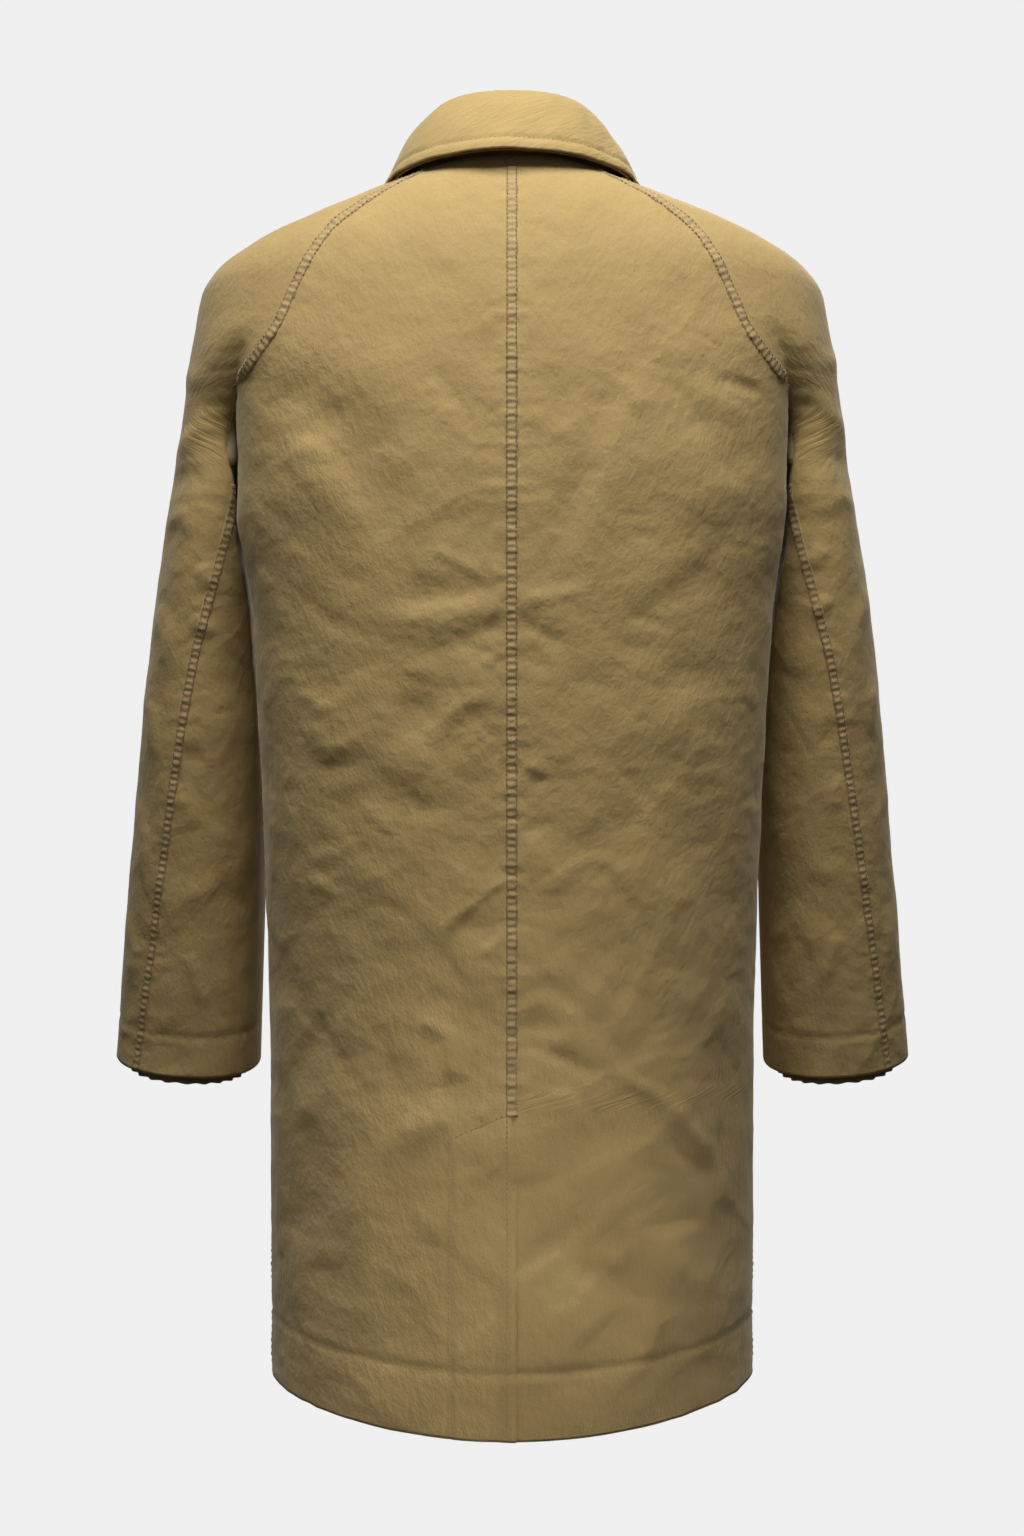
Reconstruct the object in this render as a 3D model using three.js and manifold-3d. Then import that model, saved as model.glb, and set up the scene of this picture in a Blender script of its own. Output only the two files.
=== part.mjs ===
// A knee-length raglan raincoat in washed cotton, worn shape, empty inside: two-panel back with a
// centre vent, fly front, turn-down collar, two-piece sleeves with gathered storm cuffs, full lining.
// Millimetres, +Z up, the front faces -Y and the wearer's left is +X.
// The origin is the middle of the neck opening, level with the nape.
import * as THREE from "three";
import { mergeVertices } from "three/addons/utils/BufferGeometryUtils.js";
import Module from "manifold-3d";

const radians = THREE.MathUtils.degToRad;

// ---- Driving dimensions -------------------------------------------------------------------------
const COAT_LENGTH = 926; // nape to hem at centre back
const HEM_TAIL = 20; // how far the hem dips at centre back below the side seams
const HEM_HALF_WIDTH = 182.5;
const CHEST_HALF_WIDTH = 206;
const SHOULDER_HALF_WIDTH = 235; // to the rounded end of the shoulder line
const SHOULDER_DROP = 79; // neck side point down to the shoulder end
const NECK_HALF_WIDTH = 78;
const NECK_BACK = 78; // nape ahead of the centre plane
const NECK_FRONT = -62;
const NECK_SIDE_DROP = 8;
const NECK_FRONT_DROP = 72; // front neck below the neck side point
const CHEST_BACK = 146;
const CHEST_FRONT = -133;
const HEM_BACK = 160;
const HEM_FRONT = -160;
const CREASE_DEPTH = 168; // nape down to where the raglan seam turns under the arm
const UNDERARM_DEPTH = 225; // nape down to the underarm point
const CREASE_X = 204; // where the raglan seam turns under, on the back
const CREASE_FRONT_X = 172;
const SLEEVE_HEM_DEPTH = 674; // nape down to the sleeve hem
const SLEEVE_TOP_OUTER = 259; // outer face of the sleeve at the underarm level
const SLEEVE_HEM_OUTER = 308;
const SLEEVE_HEM_HALF = 56;
const SLEEVE_TOP_REACH = 82; // half of the sleeve front to back at the underarm
const SLEEVE_HEM_REACH = 50;
const STORM_CUFF_HALF = SLEEVE_HEM_HALF - 10;
const STORM_CUFF_SHOWS = 8; // storm cuff below the sleeve hem
const STORM_CUFF_LENGTH = 62;

const SHELL = 1.2; // outer cloth, with its seam allowances
const LINING = 0.8;
const LINING_DEPTH = 7; // outer face of the shell to the outer face of the lining
const SEAM_GAP = 0.8; // between neighbouring panels
const LAYER_GAP = 0.5; // between one layer and the next
const SLEEVE_CLEARANCE = 4; // sleeve to body side

const FRONT_OVERLAP = 32; // each front past the centre line
const UNDERLAP_DEPTH = 10; // right front below the left front where they overlap
const FACING_WIDTH = 78;
const HEM_BAND = 45;
const FLY_WIDTH = 52;

const VENT_TOP = 695; // nape down to the top of the vent
const VENT_WIDTH = 46;
const VENT_PAST_CENTRE = 3;

const STAND_HEIGHT = 51;
const STAND_FRONT_HEIGHT = 26;
const ROLL_HALF_WIDTH = 69;
const ROLL_MIDDLE = 4;
const ROLL_BACK = 60;
const ROLL_FRONT = -60;
const STAND_FROM = radians(-79); // the stand's end at the front, as an angle round the neck
const LEAF_BACK_DEPTH = 10; // nape down to the leaf's edge
const LEAF_SIDE_DEPTH = 14.5;
const LEAF_ROUND = 9; // how far the leaf bellies out
const LEAF_THICKNESS = 1.1; // each of the two collar cloths

const BUTTON_RADIUS = 10;
const BUTTON_THICKNESS = 3;
const BUTTON_COUNT = 5;
const BUTTON_TOP = 150; // nape down to the first button
const BUTTON_SPACING = 112;
const BUTTON_HOLE_RADIUS = 1;
const BUTTON_HOLE_PITCH = 2;

const WELT_LENGTH = 165;
const WELT_WIDTH = 34;
const WELT_TOP = 430; // nape down to the welt's upper end
const WELT_LEAN = 40; // how far the welt's lower end lies nearer the side
const WELT_THICKNESS = 1.6;
const POCKET_DROP = 110; // pocket bag below the welt
const POCKET_BAG_WIDTH = 68;

const LOOP_SPAN = 56;
const LOOP_DROP = 22;
const LOOP_WIDTH = 8;
const LOOP_THICKNESS = 2;
const LABEL_WIDTH = 62;
const LABEL_HEIGHT = 30;

const VENT_SLANT = 20;
const EDGE_SHARE = 0.994; // how much of the way to its seam line a panel's edge comes
const VENT_BEND_TOP = 712; // nape down to where the vent's bend line meets its edge
const BEND_GAP = 0.5;
const FLAP_START = 14; // the flap's tip, below where the bend line meets the edge
const LEFT_BEND_TOP = 190; // nape down to where each bend line meets the front edge
const RIGHT_BEND_TOP = 590;
const BEND_HEM_X = 90;
const FACING_INNER = FACING_WIDTH - FRONT_OVERLAP;
const FACING_INSET = SHELL * 2 + LAYER_GAP * 2;
const EDGE_COLUMNS = 3 / 7; // share of a front's columns that lie near its edge
const WELT_TOP_X = 112;
const WELT_SKEW = 6;
const POCKET_INSET = 3.6;
const POCKET_BAG = 1.4;
const FRONT_ROWS = 26;
const NECK_CROWD = 1.3; // rows of a front crowd towards the curved neck end
const HEAD_MARGIN = 0.011;
const LINING_SHARE = 0.965;
const PANEL_MARGIN = 0.0016;
const CUT_GAP = 1.5;
const SLEEVE_LINING_DEPTH = 5;
const STORM_CUFF_RIPPLE = 3;
const STORM_CUFF_GATHERS = 14;
const LOOP_AHEAD = 12;
const LOOP_TOP = 2;
const LABEL_THICKNESS = 0.6;
const LABEL_Z = -30;
const SWING_RADIUS = 96; // round the sleeve's hinge line: the cloth bends there
const SWING_Y = -30;
const SWING_DEPTH = 200;

// ---- Colours and finishes -----------------------------------------------------------------------
const finish = (color, roughness, metalness = 0) =>
  new THREE.MeshStandardMaterial({ color, roughness, metalness });
const KHAKI = finish(0xb59b69, 0.85);
const KHAKI_DARK = finish(0x7d6942, 0.88);
const LINING_CLOTH = finish(0x8d7b55, 0.6);
const HORN = finish(0x4a3524, 0.35);
const LABEL_CLOTH = finish(0x2b2a27, 0.7);

// ---- Curves -------------------------------------------------------------------------------------
const mix = (a, b, t) => a + (b - a) * t;
const clamp = (t, low = 0, high = 1) => Math.min(high, Math.max(low, t));
const smooth = (t) => clamp(t) ** 2 * (3 - 2 * clamp(t));

// A curve through [depth, value] pairs that doesn't overshoot them.
function through(pairs) {
  const last = pairs.length - 1;
  const slope = (i) => (pairs[i + 1][1] - pairs[i][1]) / (pairs[i + 1][0] - pairs[i][0]);
  const tangent = (i) => {
    if (i === 0) return slope(0);
    if (i === last) return slope(last - 1);
    const before = slope(i - 1);
    const after = slope(i);
    return before * after <= 0 ? 0 : (2 * before * after) / (before + after);
  };
  return (depth) => {
    if (depth <= pairs[0][0]) return pairs[0][1];
    if (depth >= pairs[last][0]) return pairs[last][1];
    const i = pairs.findIndex((pair, k) => k < last && depth <= pairs[k + 1][0]);
    const width = pairs[i + 1][0] - pairs[i][0];
    const t = (depth - pairs[i][0]) / width;
    const start = pairs[i][1] * (1 + 2 * t) * (1 - t) ** 2 + tangent(i) * width * t * (1 - t) ** 2;
    return start + pairs[i + 1][1] * t * t * (3 - 2 * t) + tangent(i + 1) * width * t * t * (t - 1);
  };
}

// ---- Body rings ---------------------------------------------------------------------------------
// A ring is a level section of the coat: two half superellipses, one behind and one ahead.
// depth counts down from the nape. A "yoke" ring takes in the sleeve heads, a "torso" ring doesn't.
const HEM_DEPTH = COAT_LENGTH - HEM_TAIL;
const SHOULDER_DEPTH = NECK_SIDE_DROP + SHOULDER_DROP;
const shoulderAt = (share, out) => [
  NECK_SIDE_DROP + SHOULDER_DROP * share,
  mix(NECK_HALF_WIDTH, SHOULDER_HALF_WIDTH, out),
];
const yokeWidth = through([
  shoulderAt(0, 0),
  shoulderAt(0.2, 0.3),
  shoulderAt(0.4, 0.58),
  shoulderAt(0.6, 0.8),
  shoulderAt(0.8, 0.945),
  shoulderAt(1, 1.01),
  [SHOULDER_DEPTH + 31, SHOULDER_HALF_WIDTH + 7],
  [SHOULDER_DEPTH + 86, SHOULDER_HALF_WIDTH + 16],
]);
const torsoWidth = through([
  [CREASE_DEPTH, CHEST_HALF_WIDTH],
  [250, CHEST_HALF_WIDTH - 1],
  [338, mix(CHEST_HALF_WIDTH, HEM_HALF_WIDTH, 0.5)],
  [500, mix(CHEST_HALF_WIDTH, HEM_HALF_WIDTH, 0.83)],
  [640, HEM_HALF_WIDTH],
]);
const backLine = through([
  [NECK_SIDE_DROP, NECK_BACK],
  [43, mix(NECK_BACK, CHEST_BACK, 0.38)],
  [91, mix(NECK_BACK, CHEST_BACK, 0.68)],
  [CREASE_DEPTH, mix(NECK_BACK, CHEST_BACK, 0.9)],
  [250, CHEST_BACK],
  [640, mix(CHEST_BACK, HEM_BACK, 0.45)],
  [HEM_DEPTH, HEM_BACK],
]);
const frontLine = through([
  [NECK_SIDE_DROP, NECK_FRONT],
  [43, mix(NECK_FRONT, CHEST_FRONT, 0.31)],
  [91, mix(NECK_FRONT, CHEST_FRONT, 0.59)],
  [CREASE_DEPTH, mix(NECK_FRONT, CHEST_FRONT, 0.86)],
  [250, CHEST_FRONT],
  [400, mix(CHEST_FRONT, HEM_FRONT, 0.33)],
  [HEM_DEPTH, HEM_FRONT],
]);
const yokeMiddle = through([
  [NECK_SIDE_DROP, 8],
  [91, -6],
  [CREASE_DEPTH, -8],
]);
const torsoMiddle = through([
  [CREASE_DEPTH, 45],
  [250, 42],
  [400, 32],
  [640, 15],
  [HEM_DEPTH, 5],
]);
const frontDrop = through([
  [NECK_SIDE_DROP, NECK_FRONT_DROP],
  [56, 52],
  [CREASE_DEPTH, 12],
  [260, 0],
]);
const SQUARENESS = 2.3;

function ring(depth, kind, inset = 0) {
  const yoke = kind === "yoke";
  return {
    depth,
    inset,
    half: (yoke ? yokeWidth(depth) : torsoWidth(depth)) - inset,
    middle: yoke ? yokeMiddle(depth) : torsoMiddle(depth),
    back: backLine(depth) - inset,
    front: frontLine(depth) + inset,
    backPower: mix(SQUARENESS, 2, smooth((depth - 400) / 450)),
    frontPower: yoke ? SQUARENESS : 2,
  };
}

// A ring's point at angle phi: 90 degrees is centre back, 0 the wearer's left, -90 centre front.
function ringPoint(r, phi) {
  const rear = Math.sin(phi) >= 0;
  const power = 2 / (rear ? r.backPower : r.frontPower);
  const reach = (rear ? r.back : r.front) - r.middle;
  const x = r.half * Math.sign(Math.cos(phi)) * Math.abs(Math.cos(phi)) ** power;
  const y = r.middle + reach * Math.abs(Math.sin(phi)) ** power;
  const ahead = clamp((r.back - y) / (r.back - r.front));
  const behind = clamp((y - r.middle) / (r.back - r.middle));
  const high = smooth((CREASE_DEPTH - r.depth) / CREASE_DEPTH);
  const nape = NECK_SIDE_DROP * behind ** 2 * high;
  const tail = HEM_TAIL * behind ** 2 * smooth((r.depth - VENT_TOP) / (HEM_DEPTH - VENT_TOP));
  const drop = frontDrop(r.depth) * ahead ** 2.5;
  return new THREE.Vector3(x, y, nape - r.depth - tail - drop - r.inset * high * 0.7);
}

function angleAtX(r, x, rear) {
  const power = (rear ? r.backPower : r.frontPower) / 2;
  const turn = Math.acos(clamp(Math.abs(x) / r.half) ** power);
  return (rear ? 1 : -1) * (x < 0 ? Math.PI - turn : turn);
}
function angleAtY(r, y) {
  const rear = y >= r.middle;
  const share = clamp((y - r.middle) / ((rear ? r.back : r.front) - r.middle));
  return (rear ? 1 : -1) * Math.asin(share ** ((rear ? r.backPower : r.frontPower) / 2));
}

// The raglan seam's distance from the centre line at each depth, then the side seam's place.
const RAGLAN_NECK_X = 58;
const raglan = (creaseX, shares) =>
  through([
    [NECK_SIDE_DROP, RAGLAN_NECK_X],
    ...shares.map(([depth, share]) => [depth, mix(RAGLAN_NECK_X, creaseX, share)]),
    [CREASE_DEPTH, creaseX],
  ]);
const raglanBack = raglan(CREASE_X, [[44, 0.39], [65, 0.55], [100, 0.69], [131, 0.79], [153, 0.91]]);
const raglanFront = raglan(CREASE_FRONT_X, [[44, 0.42], [80, 0.64], [130, 0.84]]);
const sideSeamY = through([
  [UNDERARM_DEPTH, -22],
  [HEM_DEPTH, 0],
]);

// Where a body panel ends on a ring: the raglan seam, the armhole below it, then the side seam.
function edgeAngle(r, rear) {
  const seam = (rear ? raglanBack : raglanFront)(r.depth);
  const atSeam = angleAtX(r, Math.min(seam, r.half - 1), rear);
  const under = smooth((r.depth - CREASE_DEPTH) / (UNDERARM_DEPTH - CREASE_DEPTH));
  return mix(atSeam, angleAtY(r, sideSeamY(r.depth)), under);
}

const YOKE_ENDS = 180; // below this depth the body is a torso ring alone
const torsoShare = (depth) => smooth((depth - 110) / (YOKE_ENDS - 110));

// The body cloth on the wearer's left. across runs from x = from (0) to the panel's outer edge (1).
function bodyPoint(depth, across, rear, from = 0, inset = 0) {
  const at = (kind) => {
    const r = ring(depth, kind, inset);
    return ringPoint(r, mix(angleAtX(r, from, rear), edgeAngle(r, rear), across));
  };
  return at("yoke").lerp(at("torso"), torsoShare(depth));
}
// The body cloth at a chosen x.
function bodyAtX(depth, x, rear, inset = 0) {
  const at = (kind) => {
    const r = ring(depth, kind, inset);
    return ringPoint(r, angleAtX(r, x, rear));
  };
  return at("yoke").lerp(at("torso"), torsoShare(depth));
}
const bodyCore = (p) => new THREE.Vector3(0, 10, Math.min(p.z, -CREASE_DEPTH));

// ---- Sleeve rings -------------------------------------------------------------------------------
const sleeveOuter = through([
  [CREASE_DEPTH, SLEEVE_TOP_OUTER - 6],
  [UNDERARM_DEPTH, SLEEVE_TOP_OUTER],
  [338, mix(SLEEVE_TOP_OUTER, SLEEVE_HEM_OUTER, 0.35)],
  [495, mix(SLEEVE_TOP_OUTER, SLEEVE_HEM_OUTER, 0.68)],
  [SLEEVE_HEM_DEPTH, SLEEVE_HEM_OUTER],
]);
const sleeveHalf = through([
  [UNDERARM_DEPTH, 38],
  [338, 44],
  [495, 51],
  [SLEEVE_HEM_DEPTH, SLEEVE_HEM_HALF],
]);
const sleeveReach = through([
  [UNDERARM_DEPTH, SLEEVE_TOP_REACH],
  [338, mix(SLEEVE_TOP_REACH, SLEEVE_HEM_REACH, 0.2)],
  [SLEEVE_HEM_DEPTH, SLEEVE_HEM_REACH],
]);
const sleeveMiddle = through([
  [UNDERARM_DEPTH, -25],
  [338, -29],
  [SLEEVE_HEM_DEPTH, -46],
]);
const sleeveCore = (p) =>
  new THREE.Vector3(sleeveOuter(-p.z) - sleeveHalf(-p.z) + 6, sleeveMiddle(-p.z), p.z);

function sleeveLoop(depth, angle, inset) {
  const power = 0.9;
  const wave = (v) => Math.sign(v) * Math.abs(v) ** power;
  const half = sleeveHalf(depth) - inset;
  const y = sleeveMiddle(depth) + (sleeveReach(depth) - inset) * wave(Math.sin(angle));
  const x = sleeveOuter(depth) - inset - half + half * wave(Math.cos(angle));
  const r = ring(depth, "torso");
  const touching = ringPoint(r, angleAtY(r, y)).x + 1.5;
  const free = smooth((depth - UNDERARM_DEPTH) / 45);
  const limit = mix(touching, torsoWidth(depth) + SLEEVE_CLEARANCE, free) + inset;
  const low = smooth((depth - 300) / (SLEEVE_HEM_DEPTH - 300));
  const tilt = (0.25 * (sleeveMiddle(depth) - y) + 0.06 * (x - sleeveOuter(depth) + half)) * low;
  return new THREE.Vector3(Math.max(x, limit), y, tilt - depth);
}

// The sleeve cloth. turn runs from the rear seam (0) over the outside (0.5) to the front seam (1);
// below the underarm both are the innermost line.
function sleevePoint(depth, turn, inset = 0) {
  const under = smooth((depth - CREASE_DEPTH) / (UNDERARM_DEPTH - CREASE_DEPTH));
  const angleAt = (t) => Math.PI * mix(mix(0.68, 1, under), -mix(0.8, 1, under), t);
  if (depth >= UNDERARM_DEPTH) return sleeveLoop(depth, angleAt(turn), inset);
  const r = ring(depth, "yoke", inset);
  const merge = smooth((depth - 110) / (UNDERARM_DEPTH - 110));
  const sheet = (t) => {
    const arc = ringPoint(r, mix(edgeAngle(r, true), edgeAngle(r, false), t));
    return arc.lerp(sleeveLoop(depth, angleAt(t), inset), merge);
  };
  const point = sheet(turn);
  for (const [rear, t, share] of [[true, 0, 1 - turn], [false, 1, turn]]) {
    const error = bodyPoint(depth, 1, rear, 0, inset).sub(sheet(t));
    point.addScaledVector(error, share ** 3);
  }
  return point;
}

// ---- Solids -------------------------------------------------------------------------------------
// A sheet of cloth as a closed solid: outer(u, v) is its face, core(p) a point it wraps round, and
// the thickness goes towards the core. A wrapped sheet closes on itself along u.
// deep sinks the whole sheet below the face that outer gives.
function cloth({ outer, core, columns, rows, thickness, deep = 0, wrapped = false }) {
  const grid = (side) => {
    const points = [];
    for (let j = 0; j <= rows; j += 1) {
      for (let i = 0; i < columns + (wrapped ? 0 : 1); i += 1) {
        const [u, v] = [i / columns, j / rows];
        const p = outer(u, v);
        if (side || deep) {
          const e = 0.004;
          const du = outer(wrapped ? u + e : Math.min(1, u + e), v).sub(
            outer(wrapped ? u - e : Math.max(0, u - e), v));
          const dv = outer(u, Math.min(1, v + e)).sub(outer(u, Math.max(0, v - e)));
          const normal = du.cross(dv).normalize();
          if (normal.dot(p.clone().sub(core(p))) < 0) normal.negate();
          const wall = typeof thickness === "function" ? thickness(u, v) : thickness;
          p.addScaledVector(normal, -(deep + side * wall));
        }
        points.push(p);
      }
    }
    return points;
  };
  const width = columns + (wrapped ? 0 : 1);
  const points = [...grid(0), ...grid(1)];
  const layer = width * (rows + 1);
  const at = (i, j, side) => side * layer + j * width + (wrapped ? i % width : i);
  const faces = [];
  const quad = (a, b, c, d) => faces.push(a, b, c, a, c, d);
  for (let j = 0; j < rows; j += 1) {
    for (let i = 0; i < columns; i += 1) {
      quad(at(i, j, 0), at(i + 1, j, 0), at(i + 1, j + 1, 0), at(i, j + 1, 0));
      quad(at(i, j, 1), at(i, j + 1, 1), at(i + 1, j + 1, 1), at(i + 1, j, 1));
    }
    if (!wrapped) {
      quad(at(0, j, 1), at(0, j, 0), at(0, j + 1, 0), at(0, j + 1, 1));
      quad(at(columns, j, 0), at(columns, j, 1), at(columns, j + 1, 1), at(columns, j + 1, 0));
    }
  }
  for (let i = 0; i < columns; i += 1) {
    quad(at(i, 0, 1), at(i + 1, 0, 1), at(i + 1, 0, 0), at(i, 0, 0));
    quad(at(i, rows, 0), at(i + 1, rows, 0), at(i + 1, rows, 1), at(i, rows, 1));
  }
  const geometry = new THREE.BufferGeometry().setFromPoints(points);
  geometry.setIndex(faces);
  return facingOut(geometry);
}

function facingOut(geometry) {
  const p = geometry.attributes.position;
  const index = geometry.index.array;
  const [a, b, c] = [new THREE.Vector3(), new THREE.Vector3(), new THREE.Vector3()];
  let volume = 0;
  for (let i = 0; i < index.length; i += 3) {
    a.fromBufferAttribute(p, index[i]);
    b.fromBufferAttribute(p, index[i + 1]);
    c.fromBufferAttribute(p, index[i + 2]);
    volume += a.dot(b.cross(c));
  }
  if (volume < 0) {
    for (let i = 0; i < index.length; i += 3) [index[i], index[i + 1]] = [index[i + 1], index[i]];
  }
  geometry.computeVertexNormals();
  return geometry;
}

function mirrored(geometry) {
  const copy = geometry.clone().applyMatrix4(new THREE.Matrix4().makeScale(-1, 1, 1));
  return facingOut(copy);
}

const group = new THREE.Group();
group.name = "raglan_raincoat";
function add(name, geometry, material) {
  const mesh = new THREE.Mesh(geometry, material);
  mesh.name = name;
  group.add(mesh);
}
function addPair(name, geometry, material) {
  add(`${name}_left`, geometry, material);
  add(`${name}_right`, mirrored(geometry), material);
}

// ---- Back ---------------------------------------------------------------------------------------
// Each half runs from the centre seam to the raglan seam and then the side seam. Below the vent's
// slanted top the left half stops at the vent's stitch line: the flap hangs from there.
const hemBand = (start) => (u, v) =>
  mix(start, HEM_DEPTH, v) > HEM_DEPTH - HEM_BAND ? SHELL * 2 : SHELL;
const ventSlant = (depth) => clamp((depth - VENT_TOP) / VENT_SLANT);
const BACK_ROWS = 26;
const LINING_ROWS = 24;
const backRow = through([
  [0, NECK_SIDE_DROP],
  [5, 128],
  [8, 215],
  [18, VENT_TOP],
  [20, VENT_TOP + VENT_SLANT],
  [24, HEM_DEPTH - HEM_BAND],
  [BACK_ROWS, HEM_DEPTH],
]);

function backHalf(fromAt) {
  const row = (v) => backRow(v * BACK_ROWS);
  return cloth({
    outer: (u, v) => bodyPoint(row(v), u * EDGE_SHARE, true, fromAt(row(v))),
    core: bodyCore,
    columns: 6,
    rows: BACK_ROWS,
    thickness: (u, v) => (v * BACK_ROWS > 24.5 ? SHELL * 2 : SHELL),
  });
}
const half = SEAM_GAP / 2;
add("back_panel_left", backHalf((d) => mix(half, VENT_WIDTH + SEAM_GAP, ventSlant(d))), KHAKI);
add(
  "back_panel_right",
  mirrored(backHalf((d) => mix(half, VENT_PAST_CENTRE + SEAM_GAP, ventSlant(d)))),
  KHAKI,
);

// The vent's left half lies on top. It folds back along a line from its free edge down to the stitch
// line at the hem, so it too is two solids.
const ventBendX = (depth) =>
  mix(-VENT_PAST_CENTRE, VENT_WIDTH - 2, (depth - VENT_BEND_TOP) / (HEM_DEPTH - VENT_BEND_TOP));
const ventTopAt = (x) => VENT_TOP + VENT_SLANT * clamp(x / VENT_WIDTH) + 3;
function ventSheet({ left, right, top, inset, thickness }) {
  return cloth({
    outer: (u, v) => {
      const x = (depth) => mix(left(depth, v), right(depth), u);
      const depth = mix(top(x(mix(VENT_TOP, HEM_DEPTH, v))), HEM_DEPTH, v);
      return bodyAtX(depth, x(depth), true, inset);
    },
    core: bodyCore,
    columns: 3,
    rows: 8,
    thickness,
  });
}
const ventEdge = (v) => -VENT_PAST_CENTRE * clamp(v * 9);
add("vent_overlap", ventSheet({
  left: (depth, v) => Math.max(ventEdge(v), ventBendX(depth) + BEND_GAP),
  right: () => VENT_WIDTH,
  top: ventTopAt,
  inset: 0,
  thickness: SHELL * 1.4,
}), KHAKI);
add("vent_flap", ventSheet({
  left: () => -VENT_PAST_CENTRE,
  right: (depth) => ventBendX(depth) - BEND_GAP,
  top: () => VENT_BEND_TOP + FLAP_START,
  inset: 0,
  thickness: SHELL * 1.4,
}), KHAKI);
add("vent_underlap", ventSheet({
  left: (depth, v) => ventEdge(v) + SEAM_GAP,
  right: () => VENT_WIDTH - 2,
  top: ventTopAt,
  inset: SHELL * 2 + LAYER_GAP,
  thickness: SHELL,
}), KHAKI);

// ---- Fronts -------------------------------------------------------------------------------------
// A front bends along a straight line from its edge down to the hem, so it is two solids: the part
// sewn to the sleeve and the side, and the flap that falls open. The right front lies underneath.
const FRONT_EDGE = -FRONT_OVERLAP;
const bendX = (bend, depth) =>
  mix(FRONT_EDGE, bend.hemX, (depth - bend.top) / (HEM_DEPTH - bend.top));
const underlap = (side, x) => (side === "right" ? UNDERLAP_DEPTH * smooth((62 - x) / 30) : 0);

function frontSheet(side, spec) {
  const { top, bottom, from, to, inset, thickness, columns, rows, deep } = spec;
  const { share = EDGE_SHARE, crowd = 1, until = 1 } = spec;
  const geometry = cloth({
    outer: (u, v) => {
      const depth = mix(top, bottom, (v * until) ** crowd);
      const start = from(depth);
      if (to) {
        const x = mix(start, to(depth), u);
        return bodyAtX(depth, x, false, inset + underlap(side, x));
      }
      const split = Math.max(64, start + 16);
      if (u <= EDGE_COLUMNS) {
        const x = mix(start, split, u / EDGE_COLUMNS);
        return bodyAtX(depth, x, false, inset + underlap(side, x));
      }
      const across = (u - EDGE_COLUMNS) / (1 - EDGE_COLUMNS);
      return bodyPoint(depth, across * share, false, split, inset);
    },
    core: bodyCore,
    columns,
    rows,
    deep,
    thickness,
  });
  return side === "right" ? mirrored(geometry) : geometry;
}

const BENDS = {
  left: { top: LEFT_BEND_TOP, hemX: BEND_HEM_X },
  right: { top: RIGHT_BEND_TOP, hemX: BEND_HEM_X },
};
for (const side of ["left", "right"]) {
  const bend = BENDS[side];
  const flapTop = bend.top + FLAP_START;
  const outside = (depth, gap) => Math.max(FRONT_EDGE, bendX(bend, depth) + gap);
  add(`front_panel_${side}`, frontSheet(side, {
    top: NECK_SIDE_DROP,
    bottom: HEM_DEPTH,
    from: (d) => outside(d, BEND_GAP),
    inset: 0,
    thickness: (u, v) => (v > 0.965 ? SHELL * 2 : SHELL),
    columns: 7,
    rows: FRONT_ROWS,
    crowd: NECK_CROWD,
  }), KHAKI);
  add(`front_flap_${side}`, frontSheet(side, {
    top: flapTop,
    bottom: HEM_DEPTH,
    from: () => FRONT_EDGE,
    to: (d) => bendX(bend, d) - BEND_GAP,
    inset: 0,
    thickness: hemBand(flapTop),
    columns: 4,
    rows: 14,
  }), KHAKI);
  // The facing doubles the front edge; below, it widens to back the whole flap.
  const narrowest = (FACING_INNER - FRONT_EDGE - 14) / (bend.hemX - FRONT_EDGE);
  const facingBottom = mix(bend.top, HEM_DEPTH, narrowest);
  add(`facing_${side}`, frontSheet(side, {
    top: NECK_SIDE_DROP + 3,
    bottom: facingBottom,
    from: (d) => outside(d, BEND_GAP + 1) + 5,
    to: () => FACING_INNER,
    inset: FACING_INSET,
    thickness: LINING,
    columns: 3,
    rows: 12,
  }), KHAKI_DARK);
  add(`facing_flap_${side}`, frontSheet(side, {
    top: flapTop + 12,
    bottom: HEM_DEPTH - 4,
    from: () => FRONT_EDGE + 2,
    to: (d) => bendX(bend, d) - BEND_GAP - 1.5,
    inset: FACING_INSET,
    thickness: LINING,
    columns: 4,
    rows: 14,
  }), KHAKI_DARK);
  add(`front_lining_${side}`, frontSheet(side, {
    top: NECK_SIDE_DROP,
    bottom: HEM_DEPTH,
    from: (d) => Math.max(FACING_INNER, bendX(bend, d)) + 3,
    share: LINING_SHARE,
    until: (FRONT_ROWS - 1) / FRONT_ROWS,
    inset: 0,
    deep: LINING_DEPTH,
    thickness: LINING,
    columns: 7,
    rows: FRONT_ROWS - 1,
    crowd: NECK_CROWD,
  }), LINING_CLOTH);
}

// The buttonhole strip hides under the left front's edge, on the flap.
const stripTop = LEFT_BEND_TOP + 110;
const strip = frontSheet("left", {
  top: stripTop,
  bottom: BUTTON_TOP + BUTTON_SPACING * (BUTTON_COUNT - 1) + 40,
  from: () => FRONT_EDGE + 5,
  to: (d) => Math.min(FLY_WIDTH + FRONT_EDGE, bendX(BENDS.left, d) - 4),
  inset: FACING_INSET + LINING + LAYER_GAP * 1.6,
  thickness: LINING,
  columns: 2,
  rows: 8,
});
add("buttonhole_strip", strip, KHAKI_DARK);

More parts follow.
